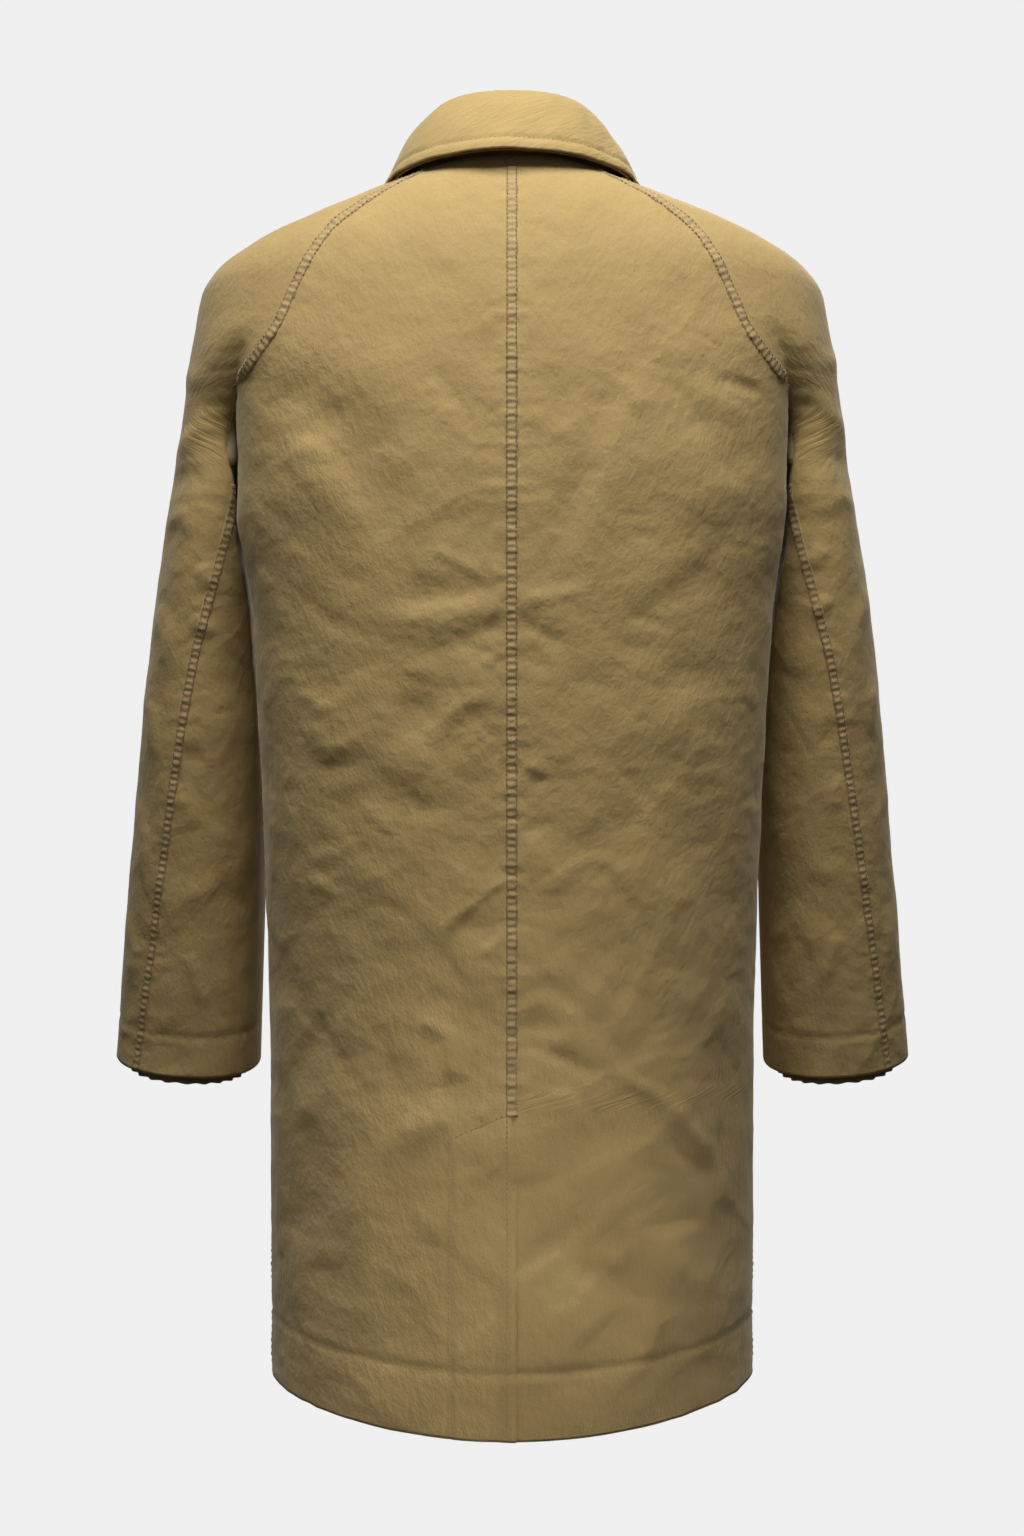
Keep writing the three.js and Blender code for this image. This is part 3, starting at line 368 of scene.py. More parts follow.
def fold(x, depth, line, width, height, blunt=1.0):
    """A ridge (height above 0) or a valley along a line of (x, depth) points. It fades at both ends.
    blunt makes the side below the line that many times as wide as the side above."""
    spots = np.array(line, float)
    pieces = np.hypot(*np.diff(spots, axis=0).T)
    done = np.concatenate([[0], np.cumsum(pieces)]) / pieces.sum()
    nearest = np.full(np.shape(x), 1e9)
    relief = np.zeros(np.shape(x))
    for (ax, az), (bx, bz), t0, t1 in zip(spots, spots[1:], done, done[1:]):
        dx, dz = bx - ax, bz - az
        share = np.clip(((x - ax) * dx + (depth - az) * dz) / (dx * dx + dz * dz), 0, 1)
        off_x, off_z = x - ax - share * dx, depth - az - share * dz
        away = np.hypot(off_x, off_z)
        wide = width * np.where(off_z > 0, blunt, 1)
        along = mix(t0, t1, share)
        fade = smooth(along / 0.18 + 0.25) * smooth((1 - along) / 0.45)
        value = height * fade * bump(away, wide)
        relief = np.where(away < nearest, value, relief)
        nearest = np.minimum(away, nearest)
    return relief


def pucker(away, along, seed, reach=11, height=0.5):
    """Small folds square to a seam: away and along are distances from it and down it."""
    spots = np.stack([along, 0.35 * away, np.full_like(along, 7.0 * seed)], -1)
    return height * bump(away, reach) * (noise(spots, 6.5, seed) + 0.6 * noise(spots, 15, seed + 3))


# %% [markdown]
# ## Where the folds lie
# The back is held at the shoulder blades and pulled in a little at the waist, so folds run from
# both armpits to one point on the centre seam and out again below it. Lower down, the vent's sewn
# top starts two long folds. Every line is in millimetres: x from the centre, positive to the
# wearer's left, then depth below the nape. A positive height is a ridge.

# %% Folds of the back
BACK_FOLDS = [
    # from the armpits to the waist
    ([(172, 172), (118, 216), (92, 268), (74, 330)], 24, -4.2, 1.0),
    ([(78, 331), (40, 326), (4, 329)], 12, -2.6, 0.8),
    ([(58, 295), (30, 308), (4, 324)], 5, 1.6, 1.0),
    ([(22, 300), (4, 318)], 4, 1.1, 1.0),
    ([(-72, 172), (-54, 240), (-34, 286), (-3, 328)], 11, -2.8, 1.0),
    ([(-84, 168), (-68, 240), (-48, 292)], 13, 1.5, 1.0),
    ([(-30, 280), (-3, 318)], 5, 1.2, 1.0),
    ([(170, 182), (140, 240), (112, 300)], 22, 2.2, 1.0),
    ([(139, 178), (78, 164), (12, 150)], 20, 1.8, 1.6),
    ([(-132, 178), (-180, 202)], 9, 2.0, 1.0),
    ([(-150, 170), (-190, 178)], 5, -1.8, 1.0),
    ([(-176, 260), (-142, 310), (-104, 332)], 13, -1.8, 1.2),
    ([(-140, 290), (-104, 318), (-60, 322)], 9, 1.3, 1.0),
    ([(-82, 284), (-106, 287)], 4, -1.1, 1.2),
    # out from the waist again
    ([(5, 335), (60, 342), (115, 348)], 9, 1.8, 1.4),
    ([(5, 349), (43, 363), (80, 374)], 7, -1.8, 1.0),
    ([(5, 367), (24, 380)], 3.5, 1.0, 1.0),
    ([(-5, 334), (-46, 325), (-58, 337)], 6, 1.6, 1.0),
    ([(-8, 348), (-32, 361), (-44, 378)], 6, -1.9, 1.0),
    ([(-8, 366), (-30, 388)], 5, -1.2, 1.0),
    ([(-84, 341), (-126, 354)], 5, -1.4, 1.3),
    ([(-76, 372), (-110, 360)], 9, -1.4, 1.2),
    # diamonds between the waist and the vent
    ([(10, 396), (36, 408), (56, 428), (78, 464)], 7, 1.8, 1.0),
    ([(64, 400), (92, 440), (96, 462)], 12, -1.3, 1.0),
    ([(154, 395), (128, 414)], 5, 1.5, 1.0),
    ([(148, 420), (131, 440), (100, 423)], 6, 1.5, 1.2),
    ([(140, 452), (100, 447)], 7, -1.4, 1.0),
    ([(106, 487), (82, 508)], 2.6, -1.0, 1.0),
    ([(74, 468), (54, 492)], 4, -1.3, 1.0),
    ([(-13, 446), (-27, 460)], 3.2, 1.7, 1.0),
    ([(-6, 472), (-27, 451)], 5, -1.8, 1.0),
    ([(-6, 499), (-25, 488)], 4, -1.4, 1.0),
    ([(-16, 541), (-52, 515), (-68, 517), (-97, 556)], 5, 1.3, 1.6),
    ([(-78, 453), (-102, 478)], 3.2, -1.2, 1.0),
    ([(5, 529), (56, 570)], 4, 1.3, 1.0),
    ([(5, 569), (30, 588)], 3.5, 1.1, 1.0),
    ([(40, 560), (20, 566), (4, 560)], 9, -1.2, 1.0),
    ([(-119, 542), (-92, 604), (-69, 640)], 4, 1.1, 1.0),
    ([(148, 530), (118, 545)], 5, 1.2, 1.2),
    ([(-10, 590), (-50, 598)], 16, 1.8, 0.7),
    # the skirt
    ([(66, 627), (46, 641), (36, 688)], 6, 2.0, 1.0),
    ([(150, 640), (100, 672), (60, 676)], 26, -3.2, 1.0),
    ([(40, 690), (86, 720), (108, 768), (106, 812), (124, 872)], 14, 3.6, 1.0),
    ([(150, 700), (142, 780), (152, 830)], 18, -2.4, 1.0),
    ([(-8, 645), (-40, 658), (-66, 675)], 6, -1.8, 0.8),
    ([(-2, 636), (-40, 634)], 10, -2.2, 0.7),
    ([(-76, 667), (-110, 690), (-143, 727), (-168, 790)], 5.5, 1.9, 1.0),
    ([(-10, 781), (-54, 802), (-112, 830)], 15, -2.4, 0.8),
    ([(-40, 812), (-64, 846)], 22, 1.8, 1.0),
    ([(-114, 828), (-88, 862), (-62, 892)], 8, 1.4, 1.0),
    ([(-138, 806), (-146, 880)], 9, 1.8, 1.0),
    ([(68, 758), (46, 786)], 6, 1.1, 1.0),
    ([(92, 800), (66, 812), (50, 834)], 7, 1.1, 1.0),
    ([(84, 850), (52, 858)], 6, 1.0, 1.2),
]


HEM_FLUTES = (140, 154, 165, -122, -150, -164)  # short ones above the hem, at both sides


def back_folds(x, depth):
    relief = sum(fold(x, depth, *row) for row in BACK_FOLDS)
    return relief + sum(1.1 * bump(x - edge, 4) * smooth((depth - 845) / 45) for edge in HEM_FLUTES)


print(len(BACK_FOLDS), "hand-placed folds on the back")

# %% [markdown]
# ## Cloth
# Each cut piece is a fine grid that follows the coat's surface, pushed in and out by its relief,
# then given its thickness. A Solidify modifier could do the last step, but the thickness changes
# at the hems, and other pieces need to find places on the cloth: seams, stitches and pockets ask
# the grid for them.

# %% The cloth class
def unit(v):
    return v / np.maximum(np.linalg.norm(v, axis=-1, keepdims=True), 1e-12)


def sheet_faces(rows, columns):
    """Quads of a grid with a copy beneath it: the face, the under side and the rim between them."""
    top = np.arange(rows * columns).reshape(rows, columns)
    low = top + rows * columns
    loops = [
        (top[:-1, :-1], top[:-1, 1:], top[1:, 1:], top[1:, :-1]),
        (low[:-1, :-1], low[1:, :-1], low[1:, 1:], low[:-1, 1:]),
        (top[:-1, 0], top[1:, 0], low[1:, 0], low[:-1, 0]),
        (top[1:, -1], top[:-1, -1], low[:-1, -1], low[1:, -1]),
        (top[0, 1:], top[0, :-1], low[0, :-1], low[0, 1:]),
        (top[-1, :-1], top[-1, 1:], low[-1, 1:], low[-1, :-1]),
    ]
    return np.concatenate([np.stack(corners, -1).reshape(-1, 4) for corners in loops])


def link_mesh(name, points, quads, uv, finish):
    """Makes an object from points in millimetres and quads, with smooth shading."""
    mesh = bpy.data.meshes.new(name)
    mesh.vertices.add(len(points))
    mesh.vertices.foreach_set("co", (np.asarray(points) * MM).astype(np.float32).ravel())
    mesh.loops.add(quads.size)
    mesh.loops.foreach_set("vertex_index", quads.ravel().astype(np.int32))
    mesh.polygons.add(len(quads))
    mesh.polygons.foreach_set("loop_start", np.arange(0, quads.size, quads.shape[1], dtype=np.int32))
    mesh.polygons.foreach_set("loop_total", np.full(len(quads), quads.shape[1], np.int32))
    mesh.update(calc_edges=True)
    mesh.validate()
    mesh.polygons.foreach_set("use_smooth", np.ones(len(mesh.polygons), bool))
    layer = mesh.uv_layers.new(name="cut")
    layer.data.foreach_set("uv", (uv[quads.ravel()] * MM).astype(np.float32).ravel())
    mesh.materials.append(finish)
    piece = bpy.data.objects.new(name, mesh)
    bpy.context.scene.collection.objects.link(piece)
    return piece


class Cloth:
    """A sheet: face(u, v) gives its surface in millimetres, outward(points) the way out of the coat."""

    def __init__(self, face, columns, rows, outward, relief=None, sink=0.0, crowd=None):
        u, self.v = np.linspace(0, 1, columns + 1), np.linspace(0, 1, rows + 1)
        self.u = crowd(u) if crowd else u
        across, down = np.meshgrid(self.u, self.v)
        base = face(across, down)
        normal = self.normals(base)
        self.turned = (normal * outward(base)).sum() < 0
        if self.turned:
            normal = -normal
        lift = (relief(base, across, down) if relief else 0.0) - sink
        self.points = base + normal * (np.zeros(base.shape[:2]) + lift)[..., None]
        self.normal = self.normals(self.points) * (-1 if self.turned else 1)

    @staticmethod
    def normals(grid):
        return unit(np.cross(np.gradient(grid, axis=1), np.gradient(grid, axis=0)))

    def at(self, u, v):
        """The place and normal at u, v on the finished face."""
        u, v = np.broadcast_arrays(np.asarray(u, float), np.asarray(v, float))
        i = np.clip(np.searchsorted(self.u, u, side="right") - 1, 0, len(self.u) - 2)
        j = np.clip(np.searchsorted(self.v, v, side="right") - 1, 0, len(self.v) - 2)
        s = ((u - self.u[i]) / (self.u[i + 1] - self.u[i]))[..., None]
        t = ((v - self.v[j]) / (self.v[j + 1] - self.v[j]))[..., None]

        def between(grid):
            upper, lower = mix(grid[j, i], grid[j, i + 1], s), mix(grid[j + 1, i], grid[j + 1, i + 1], s)
            return mix(upper, lower, t)

        return between(self.points), unit(between(self.normal))

    def make(self, name, finish, thickness=SHELL):
        """The closed mesh: face, under side and rim. Its UVs are lengths along the cut."""
        rows, columns = self.points.shape[:2]
        wall = (np.zeros((rows, columns)) + thickness)[..., None]
        points = np.concatenate([self.points, self.points - self.normal * wall]).reshape(-1, 3)
        run = np.linalg.norm(np.diff(self.points, axis=1), axis=-1)
        fall = np.linalg.norm(np.diff(self.points, axis=0), axis=-1)
        along = np.concatenate([np.zeros((rows, 1)), np.cumsum(run, 1)], 1)
        down = np.concatenate([np.zeros((1, columns)), np.cumsum(fall, 0)], 0)
        uv = np.stack([along, down], -1).reshape(-1, 2)
        faces = sheet_faces(rows, columns)
        if self.turned:
            faces = faces[:, ::-1]
        self.size = (float(along[:, -1].max()), float(down[-1].max()))
        across, fall = np.diff(self.points, axis=1)[:-1], np.diff(self.points, axis=0)[:, :-1]
        self.area = float(np.linalg.norm(np.cross(across, fall), axis=-1).sum())
        return link_mesh(name + "_cloth", points, faces, np.concatenate([uv, uv]), finish)


print("a sheet of 2 by 2 squares has", len(sheet_faces(3, 3)), "quads")

# %% [markdown]
# ## Finishes
# Washed cotton is matt with a faint sheen, a little uneven in colour, paler where seams rub and
# darker in their hollows. The weave and the finest crinkle are bump, because they are smaller than
# the mesh; they follow each cut's own millimetres, so they stay on the cloth when it moves.

# %% Shader maths
class Wire:
    """A socket that sums like a number: an expression on wires adds its Math nodes."""

    def __init__(self, finish, socket):
        self.finish, self.socket = finish, socket

    def maths(self, operation, first, second):
        return self.finish.node("ShaderNodeMath", {"operation": operation}, {0: first, 1: second})

    def __add__(self, other):
        return self.maths("ADD", self, other)

    def __radd__(self, other):
        return self.maths("ADD", other, self)

    def __sub__(self, other):
        return self.maths("SUBTRACT", self, other)

    def __rsub__(self, other):
        return self.maths("SUBTRACT", other, self)

    def __mul__(self, other):
        return self.maths("MULTIPLY", self, other)

    def __rmul__(self, other):
        return self.maths("MULTIPLY", other, self)


class Finish:
    """A material being built. Constant values are set on the shader's own sockets."""

    def __init__(self, name, **constants):
        self.material = bpy.data.materials.new(name)
        self.material.use_nodes = True
        self.tree = self.material.node_tree
        self.shader = self.tree.nodes["Principled BSDF"]
        for socket, value in constants.items():
            self.shader.inputs[socket.replace("_", " ")].default_value = value

    def node(self, kind, settings, values, out=0):
        """One node: its settings first, then the value or link of each named socket."""
        node = self.tree.nodes.new(kind)
        for key, value in settings.items():
            setattr(node, key, value)
        for key, value in values.items():
            if isinstance(value, Wire):
                self.tree.links.new(value.socket, node.inputs[key])
            else:
                node.inputs[key].default_value = value
        return Wire(self, node.outputs[out])

    def mix(self, factor, first, second):
        return self.node("ShaderNodeMix", {"data_type": "RGBA"}, {0: factor, 6: first, 7: second}, out=2)

    def bumpy(self, **values):
        return self.node("ShaderNodeBump", {}, values)

    def feed(self, **wires):
        for socket, wire in wires.items():
            self.tree.links.new(wire.socket, self.shader.inputs[socket.replace("_", " ")])
        return self.material

    def places(self, across, down):
        """The cut's own coordinates in metres, stretched by across and down."""
        uv = self.node("ShaderNodeUVMap", {"uv_map": "cut"}, {})
        stretch = {0: uv, 1: (across, down, 1)}
        return self.node("ShaderNodeVectorMath", {"operation": "MULTIPLY"}, stretch)

    def noise(self, across, down, detail=2, rough=0.5):
        values = {"Vector": self.places(across, down), "Scale": 1, "Detail": detail, "Roughness": rough}
        return self.node("ShaderNodeTexNoise", {}, values)


def cotton(name, base, dark, pale):
    """Washed cotton: mottled colour, crossed threads and fine crinkle."""
    finish = Finish(name, Sheen_Weight=0.25, Sheen_Roughness=0.45, Specular_IOR_Level=0.28)
    finish.shader.inputs["Sheen Tint"].default_value = (1.0, 0.93, 0.8, 1)
    cloud = finish.noise(22, 16, 4, 0.6)
    speck = finish.noise(900, 900, 2, 0.6)
    warp, weft = finish.noise(2600, 240), finish.noise(240, 2600)
    threads = warp * 0.5 + weft * 0.5
    colour = finish.mix((cloud - 0.3) * 1.6, dark, base)
    colour = finish.mix((speck - 0.42) * 0.9 + (threads - 0.5) * 0.5, colour, pale)
    crinkle = finish.noise(150, 95, 3, 0.62)
    soft = finish.bumpy(Strength=0.75, Distance=0.0014, Height=crinkle)
    normal = finish.bumpy(Strength=0.5, Distance=0.00016, Height=threads, Normal=soft)
    rough = (cloud - 0.5) * 0.12 + 0.86
    return finish.feed(Base_Color=colour, Roughness=rough, Normal=normal)


def rgb(r, g, b):
    return (r, g, b, 1)


KHAKI = cotton(
    "washed_cotton",
    base=rgb(0.43, 0.306, 0.126),
    dark=rgb(0.37, 0.258, 0.10),
    pale=rgb(0.54, 0.405, 0.195),
)
# Painted shade: a darker copy of the same washed cotton for the facings, buttonhole strip, storm cuffs,
# under collar and hanger loop, standing in for the shade inside and beneath the coat.
KHAKI_PAINTED_SHADE = cotton(
    "washed_cotton_painted_shade",
    base=rgb(0.30, 0.215, 0.105),
    dark=rgb(0.26, 0.18, 0.085),
    pale=rgb(0.38, 0.285, 0.155),
)
SEAM = cotton(
    "seam_cotton",
    base=rgb(0.42, 0.302, 0.147),
    dark=rgb(0.335, 0.235, 0.107),
    pale=rgb(0.56, 0.425, 0.24),
)


def sewing_thread():
    finish = Finish("thread", Roughness=0.55, Specular_IOR_Level=0.4)
    twist = finish.noise(700, 700)
    return finish.feed(Base_Color=finish.mix(twist, rgb(0.22, 0.148, 0.064), rgb(0.36, 0.255, 0.125)))


def satin():
    finish = Finish("lining_twill", Sheen_Weight=0.15, Specular_IOR_Level=0.45)
    twill = finish.noise(1800, 260)
    colour = finish.mix(twill, rgb(0.155, 0.112, 0.062), rgb(0.235, 0.175, 0.102))
    ribs = finish.bumpy(Strength=0.4, Distance=0.00012, Height=twill)
    rough = finish.noise(30, 20) * 0.15 + 0.38
    return finish.feed(Base_Color=colour, Roughness=rough, Normal=ribs)


def horn():
    finish = Finish("horn", Coat_Roughness=0.1, Specular_IOR_Level=0.5)
    place = finish.node("ShaderNodeTexCoord", {}, {}, out=3)
    grain = {"Vector": place, "Scale": 160, "Detail": 4, "Distortion": 1.8}
    streak = finish.node("ShaderNodeTexNoise", {}, grain)
    colour = finish.mix(streak, rgb(0.03, 0.016, 0.008), rgb(0.21, 0.115, 0.05))
    return finish.feed(Base_Color=colour, Roughness=streak * 0.2 + 0.18, Coat_Weight=streak * 0.5)


def woven_label():
    finish = Finish("woven_label", Sheen_Weight=0.3)
    warp = finish.noise(3200, 300)
    colour = finish.mix(warp, rgb(0.018, 0.017, 0.015), rgb(0.05, 0.047, 0.042))
    ribs = finish.bumpy(Strength=0.5, Distance=0.0001, Height=warp)
    return finish.feed(Base_Color=colour, Roughness=warp * 0.2 + 0.55, Normal=ribs)


THREAD, LINING_CLOTH, HORN, LABEL_CLOTH = sewing_thread(), satin(), horn(), woven_label()
print("finishes:", ", ".join(m.name for m in bpy.data.materials))

# %% [markdown]
# ## How pieces move
# Cloth that is sewn to the body rides on it. Cloth that crosses a joint, the fronts, the vent and the
# sleeves, only has its place baked into its mesh; bend lines are worked out for the fronts, slanting
# to the hem, and for the sleeves, across the armhole, but nothing uses them.

# %% Riding and bending
FRONT_OVERLAP, BEND_HEM_X = 32, 90
BEND_TOP = {"left": 190, "right": 590}
FRONT_BEND = 14  # each side of the bend line
SHOULDER_BEND = (0.215, -0.185), (0.285, -0.325)  # x and z in metres, above and below the armhole
SIDES = {"left": 1, "right": -1}


def rides(body):
    return lambda piece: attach(piece, body)


coat_rides = rides("coat")


def square_to(top, foot):
    """The direction square to a line down the coat, towards the edge that opens."""
    run = foot - top
    return np.array([run[1], -run[0]]) / np.hypot(*run)


def bends_front(side):
    """Works out a line from the front edge down to the hem for the fronts to bend along; the mover it
    returns only bakes the piece's place into its mesh.
    """
    top = np.array([-FRONT_OVERLAP, -BEND_TOP[side]])
    to_edge = square_to(top, np.array([BEND_HEM_X, -HEM_DEPTH]))
    start, end = top - FRONT_BEND * to_edge, top + FRONT_BEND * to_edge
    x = SIDES[side] * MM
    from_, to = (start[0] * x, 0, start[1] * MM), (end[0] * x, 0, end[1] * MM)
    return lambda piece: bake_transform(piece, "coat", "front_" + side, from_, to)


def bends_vent(piece):
    """Bakes the vent's place into its mesh; the vent does not bend."""
    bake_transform(piece)


def bends_sleeve(side):
    from_, to = ((x * SIDES[side], 0, z) for x, z in SHOULDER_BEND)
    return lambda piece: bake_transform(piece, "coat", "sleeve_" + side, from_, to)


def finish_piece(piece, moves, replaced):
    moves(piece)
    if replaced:
        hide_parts(*replaced)


def sew(cloth, name, finish, wall, moves, replaced):
    """Makes a cloth's mesh, moves it with moves and hides the CAD parts that it replaces."""
    piece = cloth.make(name, finish, wall)
    finish_piece(piece, moves, replaced)


print("the fronts bend over", 2 * FRONT_BEND, "mm")

# %% [markdown]
# ## Seams and stitches
# The long seams are felled: one edge is folded over the other and sewn flat with two rows, which
# leaves a raised band 9 mm wide. Wash shrinks the thread, so the band stands in small rungs. A
# stitch is a grain of thread, 2.5 mm long, half sunk in the cloth.

# %% Felled seams and rows of stitches
FELL_WIDTH, STITCH, STITCH_GAP, THREAD_THICK = 9.0, 2.5, 1.1, 0.8
RUNG = 5.2


def paced(places, step):
    """Numbers 0..1 that split a line of places into equal steps of about step."""
    run = np.concatenate([[0], np.cumsum(np.linalg.norm(np.diff(places, axis=0), axis=1))])
    count = max(2, int(run[-1] / step))
    return np.interp(np.linspace(0, run[-1], count + 1), run, np.linspace(0, 1, len(run))), run[-1]


def frame_along(cloth, path, step):
    """Places, normals, directions and sideways directions along path(t) -> u, v on a cloth."""
    t, length = paced(cloth.at(*path(np.linspace(0, 1, 400)))[0], step)
    place, normal = cloth.at(*path(t))
    along = unit(np.gradient(place, axis=0))
    return place, normal, along, unit(np.cross(normal, along)), length


def felled(name, cloth, path, moves, seed=0, width=FELL_WIDTH):
    """The raised band of a felled seam, as a strip that lies on the cloth."""
    place, normal, along, side, length = frame_along(cloth, path, 1.0)
    w = np.linspace(-1, 1, 11)  # across the band
    s = np.linspace(0, length, len(place))  # down it
    phase = 2 * pi * s / RUNG + 1.5 * noise(np.stack([s, 0 * s, 0 * s + seed], -1), 25, seed)
    rung = 0.3 * np.sin(phase)[:, None] * (1 - np.abs(w) ** 3)
    height = 0.95 * (1 - np.abs(w) ** 6) + rung - 0.25
    height = height - 0.3 * bump(np.abs(w) - 0.72, 0.12)  # the rows of stitches press it down
    height = np.where(np.abs(w) > 0.99, -0.35, height)
    wide = width / 2 * (1 + 0.05 * np.sin(phase * 0.5))[:, None] * w
    top = place[:, None] + side[:, None] * wide[..., None] + normal[:, None] * height[..., None]
    low = place[:, None] + side[:, None] * wide[..., None] * 0.9 + normal[:, None] * (-0.5)
    faces = sheet_faces(*top.shape[:2])[:, ::-1]
    uv = np.stack(np.broadcast_arrays(wide, s[:, None]), -1).reshape(-1, 2)
    points = np.concatenate([top, low]).reshape(-1, 3)
    piece = link_mesh(name, points, faces, np.concatenate([uv, uv]), SEAM)
    finish_piece(piece, moves, ())


GRAIN_ROUND = ((1, 0), (0, 1), (-1, 0), (0, -0.6))
GRAIN = np.array([(-1, 0, 0), *((x, *yz) for x in (-0.6, 0.6) for yz in GRAIN_ROUND), (1, 0, 0)])
GRAIN_SIDES = [(1, 2, 6, 5), (2, 3, 7, 6), (3, 4, 8, 7), (4, 1, 5, 8)]
GRAIN_TIPS = [(0, 2, 1), (0, 3, 2), (0, 4, 3), (0, 1, 4), (9, 5, 6), (9, 6, 7), (9, 7, 8), (9, 8, 5)]


def stitches(name, rows, moves):
    """Grains of thread along rows of (cloth, path, offset, lift)."""
    points, faces, count = [], [], 0
    for cloth, path, offset, lift in rows:
        place, normal, along, side, _ = frame_along(cloth, path, STITCH + STITCH_GAP)
        centre = (place[:-1] + place[1:]) / 2 + side[:-1] * offset + normal[:-1] * (lift + 0.08)
        axes = np.stack([along[:-1], side[:-1], normal[:-1]], 1)
        size = np.array([STITCH, THREAD_THICK, THREAD_THICK]) / 2
        for middle, turned in zip(centre, axes):
            faces += [[count + k for k in corners] for corners in GRAIN_SIDES + GRAIN_TIPS]
            points.append(middle + GRAIN * size @ turned)
            count += len(GRAIN)
    mesh = bpy.data.meshes.new(name)
    mesh.from_pydata([tuple(p) for p in np.concatenate(points) * MM], [], faces)
    mesh.uv_layers.new(name="cut")
    mesh.materials.append(THREAD)
    mesh.validate()
    piece = bpy.data.objects.new(name, mesh)
    bpy.context.scene.collection.objects.link(piece)
    print(name, count // len(GRAIN), "stitches")
    finish_piece(piece, moves, ())


# %% [markdown]
# ## The back
# Two halves meet in a felled centre seam. Below it is the vent: the left half lies on top, held by
# a slanting row of stitches, and the right half runs on underneath.

# %% Back panels
def from_core(points, x, y, z):
    return points - np.stack(np.broadcast_arrays(x, y, z), -1)


def out_of_body(points):
    return from_core(points, 0.0, 10.0, np.minimum(points[..., 2], -CREASE_DEPTH))


def seam_crowd(t):
    """Spreads columns so that they are closest beside the two seams of a panel."""
    return t - 0.11 * np.sin(2 * pi * t)


def depth_of(v):
    return mix(NECK_SIDE_DROP, HEM_DEPTH, v)


def body_v(depth):
    return (depth - NECK_SIDE_DROP) / (HEM_DEPTH - NECK_SIDE_DROP)


def hem_dip(depth):
    """The groove that the hem's stitches pull into the cloth."""
    return -0.7 * bump(depth - (HEM_DEPTH - HEM_BAND), 3)


VENT_UNDER = SHELL * 2 + 1.8
vent_slant = through((VENT_TOP, 0), (VENT_TOP + VENT_SLANT, 1))


def back_relief(side):
    def relief(base, u, v):
        x, depth = base[..., 0], depth_of(v)
        folds = 0.8 * back_folds(x, depth)
        flat = 1 - 0.75 * bump(x, 8) * smooth((VENT_TOP + 5 - depth) / 20)
        side_calm = 1 - 0.65 * smooth((u - 0.72) / 0.2) * smooth((depth - 150) / 40)
        wash = 1.25 * creases(base) + 0.35 * creases(base * 2.3, 120)
        yoke_calm = mix(0.55, 1, smooth((depth - 90) / 130))
        beside = pucker(np.abs(x), depth, 3, 12, 0.8) * smooth((VENT_TOP + 4 - depth) / 10)
        raglan_run = pucker((1 - u) * 180, depth, 5, 12, 0.7)
        vent = smooth((depth - VENT_TOP - VENT_SLANT * np.clip(x / VENT_WIDTH, 0, 1)) / 5) * (side == "left")
        row = VENT_WIDTH - 1.5
        beside = beside + vent * (0.7 * smooth((row - x) / 3) - 0.9 * bump(x - row, 2.2))
        beside = beside + vent * 2.2 * smooth((12 - x) / 12) * smooth((depth - VENT_TOP) / 120)
        hem = hem_dip(depth) + pucker(np.abs(depth - (HEM_DEPTH - HEM_BAND)), np.abs(x), 8, 9, 0.35)
        return (folds + wash * yoke_calm) * flat * side_calm + beside + raglan_run + hem

    return relief


def back_left(u, v):
    depth = depth_of(v)
    return body_across(depth, u, True, -VENT_PAST_CENTRE * vent_slant(depth - VENT_SLANT * 0.2))


UNDER_SHARE = 0.14  # this share of the right half's columns makes the part that runs on underneath


def back_right(u, v):
    depth = depth_of(v)
    run = mix(2, VENT_WIDTH - 4, smooth((depth - VENT_TOP + 14) / 14))
    x = -run * (1 - np.clip(u / UNDER_SHARE, 0, 1))
    beneath = body_at_x(depth, x, True)
    open_part = body_across(depth, np.clip((u - UNDER_SHARE) / (1 - UNDER_SHARE), 0, 1), True)
    flat = np.where((u < UNDER_SHARE)[..., None], beneath, open_part)
    dip = VENT_UNDER * smooth((1 - np.where(u < UNDER_SHARE, x, open_part[..., 0])) / 4)
    return flat - dip[..., None] * (0, 1, 0)


def mirror(face):
    return lambda u, v: face(u, v) * (-1, 1, 1)


BACK_COLUMNS, BACK_ROWS = 96, 400
right_columns = BACK_COLUMNS + 20
back = {
    "left": Cloth(back_left, BACK_COLUMNS, BACK_ROWS, out_of_body, back_relief("left"), crowd=seam_crowd),
    "right": Cloth(
        mirror(back_right), right_columns, BACK_ROWS, out_of_body, back_relief("right"), crowd=seam_crowd
    ),
}


def hem_wall(cloth):
    return np.where(depth_of(cloth.v) > HEM_DEPTH - HEM_BAND, SHELL * 2, SHELL)[:, None]


for side, moves, nodes in (
    ("left", bends_vent, ("back_panel_left", "vent_overlap", "vent_flap")),
    ("right", coat_rides, ("back_panel_right", "vent_underlap")),
):
    sew(back[side], "back_" + side, KHAKI, hem_wall(back[side]), moves, nodes)
print("back halves", [round(s) for s in back["left"].size], "mm")


# %% Back seams
SEAM_LIFT, ROW_OFFSET = 0.75, 3.3


def down_at(u, top, bottom):
    """A path down a body cloth at one place across."""
    return lambda t: (0 * t + u, body_v(mix(top, bottom, t)))


def level_at(v, low, high):
    """A path across a cloth at one place down."""
    return lambda t: (mix(low, high, t), 0 * t + v)


def u_of_x(cloth, x, v):
    """The place across a cloth where it is at x, found by halving."""
    low, high = np.zeros_like(v), np.ones_like(v)
    for _ in range(18):
        middle = (low + high) / 2
        over = cloth.at(middle, v)[0][..., 0] > x
        low, high = np.where(over, low, middle), np.where(over, middle, high)
    return (low + high) / 2


def down_at_x(cloth, x, top, bottom):
    def path(t):
        v = body_v(mix(top, bottom, t))
        return u_of_x(cloth, x, v), v

    return path


def two_rows(cloth, path, offset=ROW_OFFSET):
    return [(cloth, path, way * offset, SEAM_LIFT) for way in (-1, 1)]


